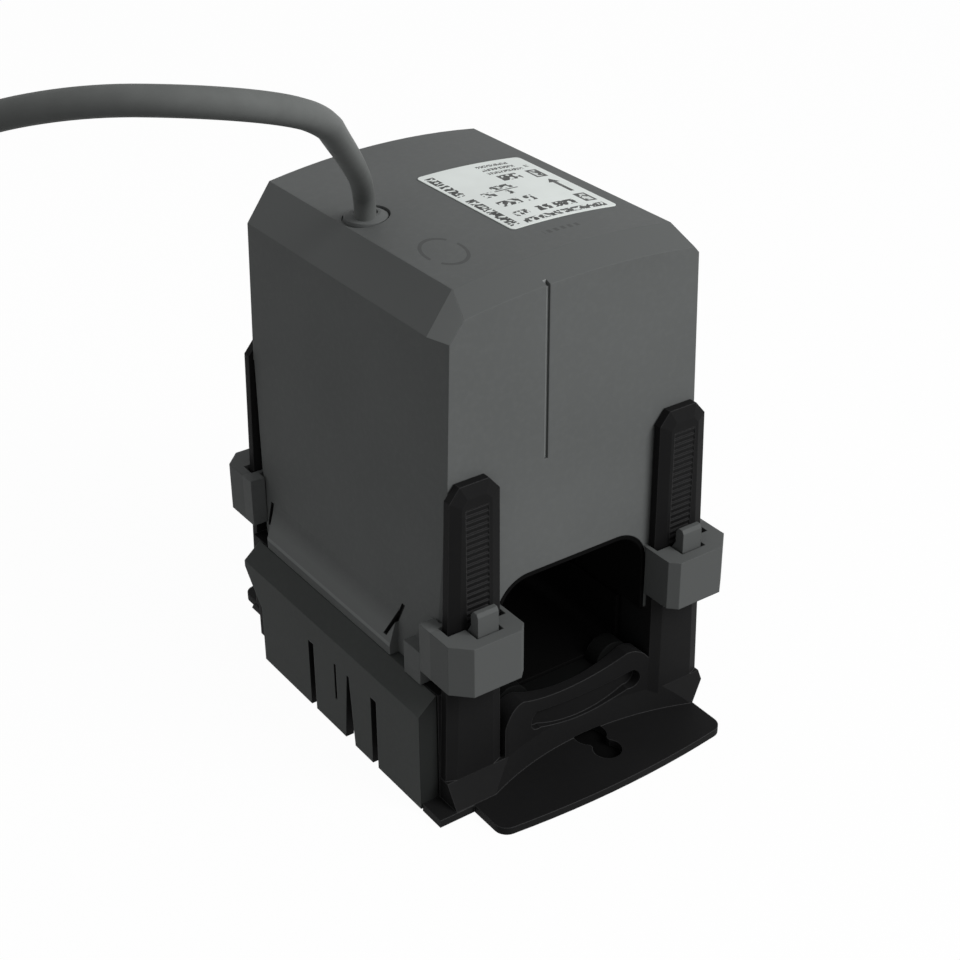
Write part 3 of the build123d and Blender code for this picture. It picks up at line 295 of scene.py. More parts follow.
def moulded_plastic(name, colour, roughness=0.55, specular=0.07, spread=0.05, edge=(0.35, 1.7), paint=None):
    """Injection-moulded plastic: eroded grain, faint flow marks, edges a little smoother and painted lighter
    as a highlight.

    edge is how much of an edge gets the painted highlight and by what factor; paint changes the tone.
    """
    mould = bpy.context.scene.moulding
    finish = Finish(name)
    colour = tuple(colour)
    flow = finish.noise(0.03, 2.0)
    grain = finish.noise(mould.spark_grain, 2.0, 0.6)
    speck = finish.noise(mould.spark_grain * 3.0, 1.0)
    soft = finish.soft_edges(mould.edge_radius)
    edges = finish.edge_mask(soft)
    tone = finish.mix(flow.between(0.3, 0.7), shade(colour, 1.0 - spread), shade(colour, 1.0 + spread))
    tone = finish.mix(speck.between(0.45, 0.8) * 0.12, tone, shade(colour, 1.5))
    # painted highlight: edges lighter in colour, as where they catch the light
    tone = finish.mix(edges * edge[0], tone, shade(colour, edge[1]))
    if paint:
        tone = paint(finish, tone, colour)
    rough = roughness + grain * 0.12 - edges * 0.12
    relief = finish.bump(grain, mould.spark_depth, soft)
    return finish.surface(tone, rough, specular=specular, normal=relief)


# Places of painted light and shade on the housing and the cover, and of the cover's darkened ends, in
# millimetres: from the middle, or up from the housing's foot
LEDGE = (-21.0, 31.0)
LEDGE_TOE = 2.2
LEDGE_FADE = (5.5, 9.5)
LEDGE_LIP = (2.0, 2.9)
HOUSING_SIDE = 28.0
SLITS = ((-22.8, 12.8, 4.2), (32.0, 10.7, 1.8))
SLIT_FOOT = (3.9, 4.0)
SLIT_HALF = 0.62
CHAMFER_FOOT = 100.0
FRONT_BEVEL = -30.6
FRONT_GROOVE = (-7.5, 0.5)
GROOVE_FLOOR = (-38.1, -36.0)
EAR_ROOT = 38.5
ROOF_FOOT = 108.0
ROOF_OVAL = ((-16.9, 3.8), (-17.0, 6.4))
OVAL_LINE = 0.08
COMB_PITCH = 1.7
COMB = ((2.4, 11.0), (-23.4, 0.75))
COVER_TROUGH = (-17.0, 27.0)
COVER_SIDE = 27.0
COVER_SLOTS = 30.0
COVER_ENDS = (29.0, 31.0)


def opposite(turned, value):
    """The value on one side of the body, and its negative on the other, where turned is above 0."""
    return value * (1.0 - 2.0 * (turned > 0.0))


def within(value, span):
    """1 between the two ends of a span, 0 outside."""
    return (value > span[0]) * (value < span[1])


def ledge_light_and_shade(finish, tone, colour, x, y, z):
    """Painted light and shade of the side ledges: a lighter slope, a painted highlight along the lip, and
    painted shade in the slit that leans at each of their ends.
    """
    along = opposite(x, y)
    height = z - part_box("upper_housing")[0][2] * 1000.0
    wall = abs(x) > HOUSING_SIDE
    ledge = within(along, LEDGE) * wall
    slope = ledge * (height > LEDGE_TOE) * (1.0 - height.between(*LEDGE_FADE))
    # painted light: the ledge's slope lighter than the wall
    tone = finish.mix(slope * 0.9, tone, shade(colour, 1.45))
    # painted highlight along the lip
    tone = finish.mix(ledge * within(height, LEDGE_LIP) * 0.7, tone, shade(colour, 2.0))
    low, foot = SLIT_FOOT
    for top_y, top_height, lean in SLITS:
        middle = top_y + (top_height - height) * (lean / (top_height - foot))
        slit = (abs(along - middle) < SLIT_HALF) * (height > low) * (height < top_height + 0.1) * wall
        # painted shade inside each slit
        tone = finish.mix(slit * 0.95, tone, shade(colour, 0.04))
    return tone


def housing_light_and_shade(finish, tone, colour):
    """Painted light and shade: lighter ledges, chamfer, chamfer corner and groove floor; darker ears, bevel
    and marks of the roof.
    """
    x, y, z = finish.axes()
    tone = ledge_light_and_shade(finish, tone, colour, x, y, z)
    face_x, face_y, face_z = finish.facing()
    front = (y < FRONT_BEVEL) * (z > CHAMFER_FOOT)
    chamfer = (face_x < -0.35) * (face_z > 0.25) * (z > CHAMFER_FOOT)
    # painted light: the chamfer lighter, and its front corner much lighter, standing in for the shading of a
    # facet the solids lack
    tone = finish.mix(chamfer, tone, shade(colour, 1.13))
    tone = finish.mix(chamfer * front, tone, shade(colour, 1.85))
    # painted shade on the ears
    tone = finish.mix(abs(y) > EAR_ROOT, tone, shade(colour, 0.84))
    bevel = front * (face_x > -0.35) * (face_z > 0.2)
    # painted shade on the front bevel
    tone = finish.mix(bevel, tone, shade(colour, 0.93))
    middle, half = FRONT_GROOVE
    groove = (abs(x - middle) < half) * within(y, GROOVE_FLOOR) * (face_y < -0.9)
    # painted light: the groove's floor lifted out of the shade of the groove
    tone = finish.mix(groove, tone, shade(colour, 2.4))
    # painted shade: the roof's marks darker, standing in for the shade of their moulded relief
    return finish.mix(roof_marks(x, y, z) * 0.45, tone, shade(colour, 0.4))


def roof_marks(x, y, z):
    """1 on the moulded marks of the roof: two arcs of an oval, and a short row of strokes."""
    (oval_x, half_x), (oval_y, half_y) = ROOF_OVAL
    across, along = (x - oval_x) / half_x, (y - oval_y) / half_y
    reach = (across * across + along * along).power(0.5)
    arcs = (abs(reach - 1.0) < OVAL_LINE) * (abs(along - across * 0.4) > 0.25)
    comb_span, (comb_y, comb_half) = COMB
    teeth = (x * (2.0 * np.pi / COMB_PITCH)).sine() > -0.1
    comb = teeth * within(x, comb_span) * (abs(y - comb_y) < comb_half)
    return arcs.most(comb) * (z > ROOF_FOOT)


def cover_tones(finish, tone, colour):
    """Painted shade: the window's floor and the slots' inner faces near black; and dark bevels at the ends of
    the cover.
    """
    x, y, _ = finish.axes()
    endways = abs(finish.facing()[1])
    trough = within(opposite(y, x), COVER_TROUGH)
    slots = (endways > 0.6) * (abs(y) < COVER_SLOTS) * (abs(x) > COVER_SIDE)
    side, end = COVER_ENDS
    ends = (endways > 0.2) * (abs(y) > end) * (abs(x) > side)
    # painted shade: the window's floor and the slots' inner faces near black
    tone = finish.mix(trough.most(slots), tone, shade(colour, 0.06))
    return finish.mix(ends * 0.85, tone, shade(colour, 0.2))


def laminated_steel(name):
    """Edges of the core sheets: fine bands along the stack, each with its own grey."""
    finish = Finish(name)
    pitch = bpy.context.scene.core_parts.lamination * 1000.0
    sheets = finish.axes()[1]
    band = finish.node("ShaderNodeMath", {"operation": "FLOOR"}, sheets / pitch)
    tint = finish.node("ShaderNodeTexWhiteNoise", {"noise_dimensions": "1D"}, W=band, output="Value")
    gap = abs((sheets / pitch - band) - 0.5).between(0.36, 0.5)
    smear = finish.noise(0.004, 4.0)
    tone = finish.mix(tint, (0.2, 0.2, 0.21), (0.32, 0.32, 0.33))
    tone = finish.mix(gap * 0.7, tone, (0.05, 0.05, 0.055))
    tone = finish.mix(smear.between(0.5, 0.8) * 0.3, tone, (0.12, 0.1, 0.09))
    relief = finish.bump(1.0 - gap, 0.00004)
    return finish.surface(tone, 0.35 + smear * 0.25, metallic=1.0, normal=relief)


def spring_steel(name):
    """Cold-rolled spring strip: long fine scratches along its length."""
    finish = Finish(name)
    stretched = finish.node("ShaderNodeMapping", None, finish.place(), Scale=(0.05, 1.0, 1.0))
    scratch = finish.noise(0.0003, 3.0, vector=stretched)
    tone = finish.mix(scratch, (0.3, 0.3, 0.32), (0.48, 0.48, 0.5))
    return finish.surface(tone, 0.25 + scratch * 0.2, metallic=1.0, normal=finish.bump(scratch, 0.000006))


def enamelled_winding(name):
    """Layer of enamelled wire: round ridges a wire apart, with painted shade between the wires, painted light
    on their tops, and a slight drift of tone.
    """
    finish = Finish(name)
    pitch = bpy.context.scene.core_parts.wire_pitch * 1000.0
    along = finish.axes()[0]
    ridge = (along * (2.0 * np.pi / pitch)).sine() * 0.5 + 0.5
    drift = finish.noise(0.002, 3.0)
    # painted shade in the grooves between wires, painted light on their tops
    tone = finish.mix(ridge, (0.2, 0.06, 0.02), (0.62, 0.24, 0.09))
    tone = finish.mix(drift.between(0.4, 0.7) * 0.25, tone, (0.35, 0.12, 0.04))
    return finish.surface(tone, 0.28 + drift * 0.15, metallic=0.85, Coat_Weight=0.4,
                          normal=finish.bump(ridge.power(0.5), 0.0002))


def polyester_wrap(name):
    """Yellow polyester film wound over the coil: overlaps every few millimetres."""
    finish = Finish(name)
    along = finish.axes()[0]
    turn = along / 9.0
    lap = turn - finish.node("ShaderNodeMath", {"operation": "FLOOR"}, turn)
    wrinkle = finish.noise(0.003, 3.0)
    tone = finish.mix(lap.between(0.9, 0.95), (0.55, 0.38, 0.05), (0.4, 0.26, 0.03))
    tone = finish.mix(wrinkle * 0.3, tone, (0.62, 0.46, 0.09))
    relief = finish.bump(lap.between(0.9, 0.94) + wrinkle * 0.4, 0.00012)
    return finish.surface(tone, 0.22 + wrinkle * 0.2, specular=0.5, normal=relief)


def bobbin_nylon(name):
    """Natural nylon: milky, a little translucent, with a painted highlight on its edges."""
    finish = Finish(name)
    cloud = finish.noise(0.008, 3.0)
    soft = finish.soft_edges(0.0002)
    tone = finish.mix(cloud, (0.5, 0.48, 0.41), (0.6, 0.57, 0.5))
    # painted highlight: edges lighter, standing in for light through the thin nylon
    tone = finish.mix(finish.edge_mask(soft) * 0.3, tone, (0.72, 0.7, 0.63))
    relief = finish.bump(cloud, 0.00003, soft)
    return finish.surface(tone, 0.4 + cloud * 0.1, normal=relief,
                          Subsurface_Weight=0.1, Subsurface_Scale=0.002)


def jacket_plastic(name, colour, sheen=0.35, grain=0.0006):
    """Soft PVC of a lead or a core wire: faint die lines, scuffs and a satin gloss."""
    finish = Finish(name)
    colour = tuple(colour)
    scuff = finish.noise(0.006, 4.0, 0.6)
    fine = finish.noise(grain, 2.0)
    tone = finish.mix(scuff.between(0.35, 0.7), shade(colour, 0.93), shade(colour, 1.07))
    rough = sheen + fine * 0.12 + scuff.between(0.5, 0.8) * 0.12
    return finish.surface(tone, rough, specular=0.01, normal=finish.bump(fine, 0.00001))


def tinned_copper(name):
    """Crimped tinned tube: pressed facets across its length and small dull spots."""
    finish = Finish(name)
    press = finish.noise(0.0012, 2.0)
    spots = finish.noise(0.0005, 3.0)
    tone = finish.mix(spots.between(0.4, 0.8), (0.62, 0.62, 0.6), (0.45, 0.45, 0.44))
    return finish.surface(tone, 0.25 + spots * 0.2, metallic=1.0, normal=finish.bump(press, 0.0001))


def clear_sleeve(name):
    """Shrunk sleeve over a crimp: milky film with a few tight folds."""
    finish = Finish(name)
    fold = finish.noise(0.0015, 3.0)
    tone = finish.mix(fold, (0.3, 0.3, 0.28), (0.42, 0.42, 0.4))
    return finish.surface(tone, 0.2 + fold * 0.15, normal=finish.bump(fold, 0.0001))


# Print of the label in its own millimetres, from its lower left corner: x0, y0, x1, y1, stroke size, seed
PRINT_SCALE = (1.09, 1.03)
PRINT_ROWS = (
    (4.0, 0.9, 22.8, 2.9, 1.9, 1.0),
    (4.4, 4.4, 7.6, 6.9, 2.2, 7.0),
    (9.6, 4.4, 18.4, 6.9, 2.3, 9.5),
    (4.8, 10.0, 9.6, 12.8, 2.4, 13.0),
    (10.8, 10.0, 12.9, 12.8, 2.4, 17.0),
    (4.9, 15.6, 7.4, 18.2, 2.2, 19.0),
    (8.2, 18.2, 12.8, 20.3, 1.9, 25.0),
    (10.0, 15.0, 11.1, 17.1, 1.6, 31.0),
    (13.2, 21.8, 17.8, 25.0, 2.6, 37.0),
    (12.6, 26.2, 21.0, 27.4, 0.9, 43.0),
    (12.6, 28.3, 20.2, 29.5, 0.9, 49.0),
    (12.6, 30.4, 20.0, 31.6, 0.9, 55.0),
    (22.0, 27.2, 22.9, 28.4, 1.0, 61.0),
)
PRINT_COLUMNS = (
    (0.7, 1.4, 2.7, 17.0, 2.0, 3.0),
    (0.7, 19.4, 2.7, 31.6, 2.0, 9.0),
)
PRINT_BAR = (8.0, 17.45, 13.4, 17.85)
PRINT_BOXES = ((20.2, 4.4), (20.2, 20.6))
BOX_SIZE = (2.7, 4.6)
ARROW_SHAFT = (21.2, 10.8, 22.1, 17.6)
ARROW_HEAD = (16.8, 19.0)
ARROW_MIDDLE = 21.65
STROKE_CUT = 0.455


def printed_film(name):
    """Label film with generic fields: rows of short strokes, two boxes, a bar and an arrow."""
    label = bpy.context.scene.rating_label
    finish = Finish(name)
    x, y, _ = finish.axes()
    x = (x - LABEL_LOW[0] * 1000.0) / PRINT_SCALE[0]
    y = (y - LABEL_LOW[1] * 1000.0) / PRINT_SCALE[1]

    def panel(x0, y0, x1, y1):
        return within(x, (x0, x1)) * within(y, (y0, y1))

    def strokes(x0, y0, x1, y1, size, seed, upright=False):
        """A row of strokes inside a panel: noise, squashed across the row, and cut by a threshold."""
        if upright:
            place = (x / size * 0.7, y / size + seed)
        else:
            place = (x / size + seed, y / size * 0.7)
        squashed = finish.node("ShaderNodeCombineXYZ", None, *place, 0.0)
        cut = finish.node("ShaderNodeTexNoise", {"noise_dimensions": "2D"}, Vector=squashed, Scale=2.4,
                          Detail=1.0, Roughness=0.4)
        return panel(x0, y0, x1, y1) * (cut > STROKE_CUT)

    ink = panel(*PRINT_BAR).most(panel(*ARROW_SHAFT))
    for row in PRINT_ROWS:
        ink = ink.most(strokes(*row))
    for column in PRINT_COLUMNS:
        ink = ink.most(strokes(*column, upright=True))
    wide, high = BOX_SIZE
    for x0, y0 in PRINT_BOXES:
        pale = strokes(x0 + 0.5, y0 + 0.5, x0 + wide - 0.5, y0 + high - 0.5, 2.4, x0)
        ink = ink.most(panel(x0, y0, x0 + wide, y0 + high) * (1.0 - pale * 0.85))
    head = (abs(x - ARROW_MIDDLE) < (ARROW_HEAD[1] - y) * 0.6) * within(y, ARROW_HEAD)
    worn = finish.noise(0.0012, 3.0)
    ink = ink.most(head) * (0.88 + worn.between(0.3, 0.5) * 0.12)
    film = finish.noise(0.01, 2.0)
    base = tuple(label.film_colour)
    tone = finish.mix(film.between(0.3, 0.7), shade(base, 0.96), shade(base, 1.04))
    tone = finish.mix(ink, tone, tuple(label.ink_colour))
    return finish.surface(tone, 0.42 + film * 0.1 - ink * 0.1, specular=0.2,
                          normal=finish.bump(ink, 0.00001))


# Meshes


def put_on(name, material):
    """Give a carried-over node its material, in every slot it has."""
    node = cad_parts[name]
    slots = node.material_slots
    if not slots:
        node.data.materials.append(material)
    for slot in slots:
        slot.material = material
    return node


def grid_mesh(name, points, closed_v=False):
    """Mesh from a (rows, columns, 3) array of points in metres, whose rows are closed rings.

    One quad for each cell of the grid; an open first or last ring is closed by a fan round its middle.
    """
    rows, columns = points.shape[:2]
    index = np.arange(rows * columns).reshape(rows, columns)
    index = np.concatenate([index, index[:, :1]], axis=1)
    if closed_v:
        index = np.concatenate([index, index[:1]], axis=0)
    quads = np.stack([index[:-1, :-1], index[:-1, 1:], index[1:, 1:], index[1:, :-1]], axis=-1).reshape(-1, 4)
    faces = quads.tolist()
    corners = points.reshape(-1, 3)
    if not closed_v:
        for ring in (index[0, ::-1], index[-1]):
            middle = np.full(columns, len(corners))
            corners = np.vstack([corners, corners[ring[:-1]].mean(axis=0)])
            faces += np.stack([ring[:-1], ring[1:], middle], axis=1).tolist()
    mesh = bpy.data.meshes.new(name)
    mesh.from_pydata(corners.tolist(), [], faces)
    mesh.validate()
    mesh.shade_smooth()
    return mesh


def flat_mesh(name, span_x, span_y, height, lines=9):
    """Level sheet: a square grid of points over two spans, all at one height."""
    across, along = np.meshgrid(np.linspace(*span_x, lines), np.linspace(*span_y, lines))
    points = np.stack([across, along, np.full_like(across, height)], axis=-1)
    index = np.arange(across.size).reshape(across.shape)
    quads = np.stack([index[:-1, :-1], index[:-1, 1:], index[1:, 1:], index[1:, :-1]], axis=-1)
    mesh = bpy.data.meshes.new(name)
    mesh.from_pydata(points.reshape(-1, 3).tolist(), [], quads.reshape(-1, 4).tolist())
    return mesh


def add_piece(name, mesh, material):
    """Put a mesh into the scene as an object at the origin."""
    piece = bpy.data.objects.new(name, mesh)
    bpy.context.scene.collection.objects.link(piece)
    mesh.materials.append(material)
    return piece


# Pieces


class FinishHousing(bpy.types.Operator):
    """Mould grain and colour of the upper housing, the window liners and the grommet."""

    bl_idname = "transformer.housing"
    bl_label = "Upper Housing"

    def execute(self, context):
        mould = context.scene.moulding
        # the housing gets a faint painted highlight on its edges, and painted light and shade on its ledges,
        # chamfer, ears, bevel, groove and roof marks
        put_on("upper_housing", moulded_plastic("housing_grey", mould.housing_colour, edge=(0.15, 1.7),
                                                paint=housing_light_and_shade))
        liner = moulded_plastic("liner_black", mould.liner_colour, 0.6, 0.03)
        put_on("inner_cover", liner)
        put_on("lower_liner", liner)
        put_on("cable_grommet", moulded_plastic("grommet_grey", mould.housing_colour, 0.6))
        return {"FINISHED"}


class FinishBase(bpy.types.Operator):
    """Colour and gloss of the base frame with its arms and of the lower cover."""

    bl_idname = "transformer.base"
    bl_label = "Base Frame and Cover"

    def execute(self, context):
        mould = context.scene.moulding
        # the frame's edges get a strong painted highlight: thin light lines along them
        put_on("base_frame", moulded_plastic("frame_black", mould.frame_colour, 0.5, 0.035, 0.1, (0.7, 7.0)))
        # the cover gets painted shade on its window floor and slots
        put_on("lower_cover", moulded_plastic("cover_grey", mould.cover_colour, paint=cover_tones))
        return {"FINISHED"}


class FinishCore(bpy.types.Operator):
    """Cut laminations of both core halves and the bright springs under them."""

    bl_idname = "transformer.core"
    bl_label = "Core and Springs"

    def execute(self, context):
        sheets = laminated_steel("lamination_steel")
        put_on("lower_core", sheets)
        put_on("upper_core", sheets)
        put_on("yoke_springs", spring_steel("spring_strip"))
        return {"FINISHED"}


class FinishCoil(bpy.types.Operator):
    """Bobbin, winding and film wrap on the upper yoke."""

    bl_idname = "transformer.coil"
    bl_label = "Coil"

    def execute(self, context):
        put_on("bobbin", bobbin_nylon("bobbin_nylon"))
        put_on("secondary_winding", enamelled_winding("enamelled_winding"))
        put_on("winding_wrap", polyester_wrap("polyester_wrap"))
        return {"FINISHED"}


class FinishLabel(bpy.types.Operator):
    """Printed film of the rating label, with generic fields."""

    bl_idname = "transformer.label"
    bl_label = "Rating Label"

    def execute(self, context):
        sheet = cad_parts["rating_label"].data
        corners = np.zeros(len(sheet.vertices) * 3)
        sheet.vertices.foreach_get("co", corners)
        arc = crown_arc(corners.reshape(-1, 3))
        film = add_piece("label_film", film_mesh("label_film", arc), printed_film("printed_film"))
        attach(film, "upper")
        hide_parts("rating_label")
        return {"FINISHED"}


# Corners of the label film, the radius of its corners and its thickness, in metres
LABEL_LOW = (-0.0017, -0.0187)
LABEL_HIGH = (0.0250, 0.0158)
LABEL_ROUND = 0.0011
LABEL_SHEET = 0.0002
CORNER_POINTS = 7
SIDE_POINTS = 24


def crown_arc(corners):
    """Arc under the CAD's label sheet: middle and radius of the circle that its lower points lie on.

    On a circle x * x + z * z is a plain sum of multiples of x, z and 1, so a least-squares fit finds it.
    """
    x, z = corners[:, 0], corners[:, 2]
    rough = np.polyfit(x, z, 2)
    under = z < np.polyval(rough, x)
    x, z = x[under], z[under]
    terms = np.stack([x, z, np.ones_like(x)], axis=1)
    slope_x, slope_z, rest = np.linalg.lstsq(terms, x * x + z * z, rcond=None)[0]
    middle_x, middle_z = slope_x / 2.0, slope_z / 2.0
    return middle_x, middle_z, np.sqrt(rest + middle_x ** 2 + middle_z ** 2)


def rounded_outline(low, high, radius):
    """Closed outline of a rounded rectangle: a quarter circle at each corner, and each side in even steps."""
    middle, half = (low + high) / 2.0, (high - low) / 2.0 - radius
    arcs = []
    for quarter, corner in enumerate(((1, 1), (-1, 1), (-1, -1), (1, -1))):
        angle = (np.linspace(0.0, 1.0, CORNER_POINTS) + quarter) * np.pi / 2.0
        arcs.append(middle + half * corner + radius * np.stack([np.cos(angle), np.sin(angle)], axis=1))
    sides = [np.linspace(arc[-1], after[0], SIDE_POINTS)[1:-1]
             for arc, after in zip(arcs, arcs[1:] + arcs[:1])]
    return np.concatenate([part for pair in zip(arcs, sides) for part in pair])


def film_mesh(name, arc):
    """Thin sheet on the roof: rings of a rounded rectangle, underneath outwards and on top inwards.

    Each point's height is that of the arc at its x, plus the sheet's thickness for the rings on top.
    """
    middle_x, middle_z, radius = arc
    low, high = np.array(LABEL_LOW), np.array(LABEL_HIGH)
    centre = (low + high) / 2.0
    outline = rounded_outline(low, high, LABEL_ROUND)
    outwards = np.append(np.linspace(0.02, 0.97, 12), (0.996, 1.0))
    scales = np.concatenate([outwards, outwards[::-1]])
    lift = np.repeat([0.0, LABEL_SHEET], len(outwards))
    points = np.zeros((len(scales), len(outline), 3))
    points[..., :2] = centre + (outline - centre)[None] * scales[:, None, None]
    points[..., 2] = middle_z + np.sqrt(radius ** 2 - (points[..., 0] - middle_x) ** 2) + lift[:, None]
    return grid_mesh(name, points)


class FinishWiring(bpy.types.Operator):
    """Conductors, sleeves and leads inside, and the strain-relief tie."""

    bl_idname = "transformer.wiring"
    bl_label = "Inner Wiring"

    def execute(self, context):
        brown = jacket_plastic("wire_brown", (0.11, 0.04, 0.018), 0.3, 0.0004)
        blue = jacket_plastic("wire_blue", (0.02, 0.06, 0.28), 0.3, 0.0004)
        nylon = jacket_plastic("tie_black", (0.012, 0.012, 0.013), 0.3, 0.0005)
        sleeve = clear_sleeve("splice_sleeve")
        enamel = enamelled_winding("lead_wire")
        tin = tinned_copper("ferrule_tin")
        for tone, material in (("brown", brown), ("blue", blue)):
            put_on(f"wire_{tone}", material)
            put_on(f"tail_wire_{tone}", material)
            put_on(f"splice_{tone}", sleeve)
            put_on(f"lead_{tone}", enamel)
            put_on(f"ferrule_{tone}", tin)
        put_on("strain_tie", nylon)
        return {"FINISHED"}


# Control points of the lead in millimetres: from the roof to the coil, the coil's turns by radius and
# height, and from the coil to the far end
CORD_ROUTE = (
    (-19.2, 7.7, 103.5),
    (-19.2, 7.7, 118.0),
    (-28.1, -5.5, 128.4),
    (-37.2, -18.7, 136.7),
    (-47.4, -33.3, 145.8),
    (-59.1, -49.8, 155.9),
    (-69.8, -65.6, 165.0),
    (-80.0, -74.0, 171.4),
    (-93.5, -72.9, 175.0),
    (-105.6, -61.2, 174.4),
    (-116.0, -45.0, 169.0),
    (-120.8, -29.0, 159.5),
    (-122.7, -13.0, 144.5),
    (-122.4, -0.6, 125.5),
    (-121.0, 10.7, 104.0),
    (-118.7, 21.0, 81.0),
    (-115.7, 29.8, 58.0),
    (-112.5, 38.1, 35.1),
    (-110.4, 46.0, 17.0),
    (-109.0, 55.4, 7.1),
    (-108.5, 67.0, 2.25),
    (-108.5, 79.0, 2.25),
)
COIL_CENTRE = (-138.0, 87.0)
COIL_TURNS = (
    (29.5, 2.25),
    (25.0, 2.25),
    (20.5, 2.25),
    (20.5, 6.3),
    (25.0, 6.3),
    (20.5, 10.35),
    (25.0, 10.35),
    (29.5, 10.35),
    (29.5, 6.3),
)
CORD_TAIL = (
    (-167.5, 75.0, 5.2),
    (-167.5, 67.0, 2.9),
    (-165.9, 58.0, 2.25),
    (-163.5, 49.0, 2.25),
)


def coil_points(per_turn):
    """Control points of the coil: each turn a circle at its own radius and height, stepping at its end."""
    stations = np.array(COIL_TURNS + COIL_TURNS[-1:])
    count = per_turn * len(COIL_TURNS) + per_turn // 2
    turn = np.arange(1, count + 1) / per_turn
    whole = np.minimum(turn.astype(int), len(COIL_TURNS) - 1)
    step = np.clip((turn - whole - 0.75) / 0.25, 0.0, 1.0)[:, None]
    ring = stations[whole] * (1.0 - step) + stations[whole + 1] * step
    angle = 2.0 * np.pi * turn
    grow = 1.0 / np.cos(np.pi / per_turn)
    radius = ring[:, 0] * (1.0 + (grow - 1.0) * 0.5)
    return np.stack([
        COIL_CENTRE[0] + radius * np.cos(angle),
        COIL_CENTRE[1] + radius * np.sin(angle),
        ring[:, 1],
    ], axis=1)


class AddLead(bpy.types.Operator):
    """Output lead from the roof down to the ground, its coil, and the stripped far end."""

    bl_idname = "transformer.lead"
    bl_label = "Output Lead"

    def execute(self, context):
        lead = context.scene.output_lead
        coil = coil_points(lead.points_per_turn)
        route = np.concatenate([np.array(CORD_ROUTE), coil, np.array(CORD_TAIL)]) * MM
        curve = bpy.data.curves.new("lead_line", "CURVE")
        curve.dimensions = "3D"
        line = curve.splines.new("NURBS")
        line.points.add(len(route) - 1)
        line.points.foreach_set("co", np.column_stack([route, np.ones(len(route))]).ravel())
        line.order_u = 3
        line.use_endpoint_u = True
        line.resolution_u = 9
        liner = bpy.data.objects.new("lead_line", curve)
        middle = curve_mesh(liner)
        centreline = np.zeros(len(middle.vertices) * 3)
        middle.vertices.foreach_get("co", centreline)
        curve.bevel_depth = lead.diameter / 2.0
        curve.bevel_resolution = 5
        curve.use_fill_caps = True
        tube = curve_mesh(liner)
        tube.shade_smooth()
        cord = add_piece("output_lead", tube, jacket_plastic("cord_jacket", lead.jacket_colour))
        bpy.data.objects.remove(liner)
        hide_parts("cord", "cord_coil", "cord_tail")
        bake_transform(cord)
        tie = add_tie()
        return {"FINISHED"}


def curve_mesh(holder):
    """Mesh of a curve object as it stands: its line where it has no bevel, its tube where it has one."""
    bpy.context.scene.collection.objects.link(holder)
    bpy.context.view_layer.update()
    shown = holder.evaluated_get(bpy.context.evaluated_depsgraph_get())
    mesh = bpy.data.meshes.new_from_object(shown)
    bpy.context.scene.collection.objects.unlink(holder)
    return mesh


def rounded(values, power):
    """Sine or cosine values pushed outwards, which turns a circle into a rounded rectangle."""
    return np.sign(values) * np.abs(values) ** power


# Half of the width and of the thickness of the tie's strap, in metres
STRAP_HALF = (0.0022, 0.0003)


def add_tie():
    """Tie round the coil: a flat strap with rounded edges carried along a rounded rectangle."""
    low, high = (np.array(corner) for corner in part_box("coil_tie"))
    centre = (low + high) / 2.0
    half_width, half_thick = STRAP_HALF
    half = (high - low) / 2.0 - half_thick
    around = np.linspace(0.0, 2.0 * np.pi, 96, endpoint=False)
    path_y = rounded(np.cos(around), 0.34) * half[1]
    path_z = rounded(np.sin(around), 0.34) * half[2]
    path = np.stack([path_y, path_z], axis=1)
    tangent = np.roll(path, -1, axis=0) - np.roll(path, 1, axis=0)
    tangent /= np.linalg.norm(tangent, axis=1)[:, None]
    outward = np.stack([tangent[:, 1], -tangent[:, 0]], axis=1)
    section = np.linspace(0.0, 2.0 * np.pi, 16, endpoint=False)
    across = rounded(np.cos(section), 0.4) * half_width
    thick = rounded(np.sin(section), 0.6) * half_thick
    points = np.zeros((len(around), len(section), 3))
    points[..., 0] = centre[0] + across[None, :]
    points[..., 1] = centre[1] + path[:, 0:1] + outward[:, 0:1] * thick[None, :]
    points[..., 2] = centre[2] + path[:, 1:2] + outward[:, 1:2] * thick[None, :]
    mesh = grid_mesh("lead_tie", points, closed_v=True)
    tie = add_piece("lead_tie", mesh, jacket_plastic("tie_nylon", (0.012, 0.012, 0.013), 0.3, 0.0005))
    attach(tie, "lower")
    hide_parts("coil_tie")
    return tie


# Stage

# Place of the camera in metres, the directions to its right, up and back, and its roll about the view
CAMERA_PLACE = (-0.1990, -0.2881, 0.2544)
CAMERA_RIGHT = (0.81848, -0.57453, 0.0)
CAMERA_UP = (0.29034, 0.41363, 0.86291)
CAMERA_BACK = (-0.49577, -0.70627, 0.50536)
CAMERA_ROLL = 0.0064128

KEY_PLACE = (0.32, -0.68, 0.62)
KEY_TARGET = (0.0, 0.0, 0.06)
KEY_SIZE = 0.5

# Floor and the black sheet under the keyholes, a painted shadow seen through them: spans and heights in
# metres
FLOOR_SPAN = (-3.0, 3.0)
FLOOR_HEIGHT = -0.0002
SHADOW_SHEET_X = (-0.012, 0.02)
SHADOW_SHEET_Y = (-0.053, 0.053)
SHADOW_SHEET_HEIGHT = -0.0001


def aim(location, target):
    """Turn that points an object's -Z from location at target."""
    return (Vector(target) - Vector(location)).to_track_quat("-Z", "Y").to_euler()


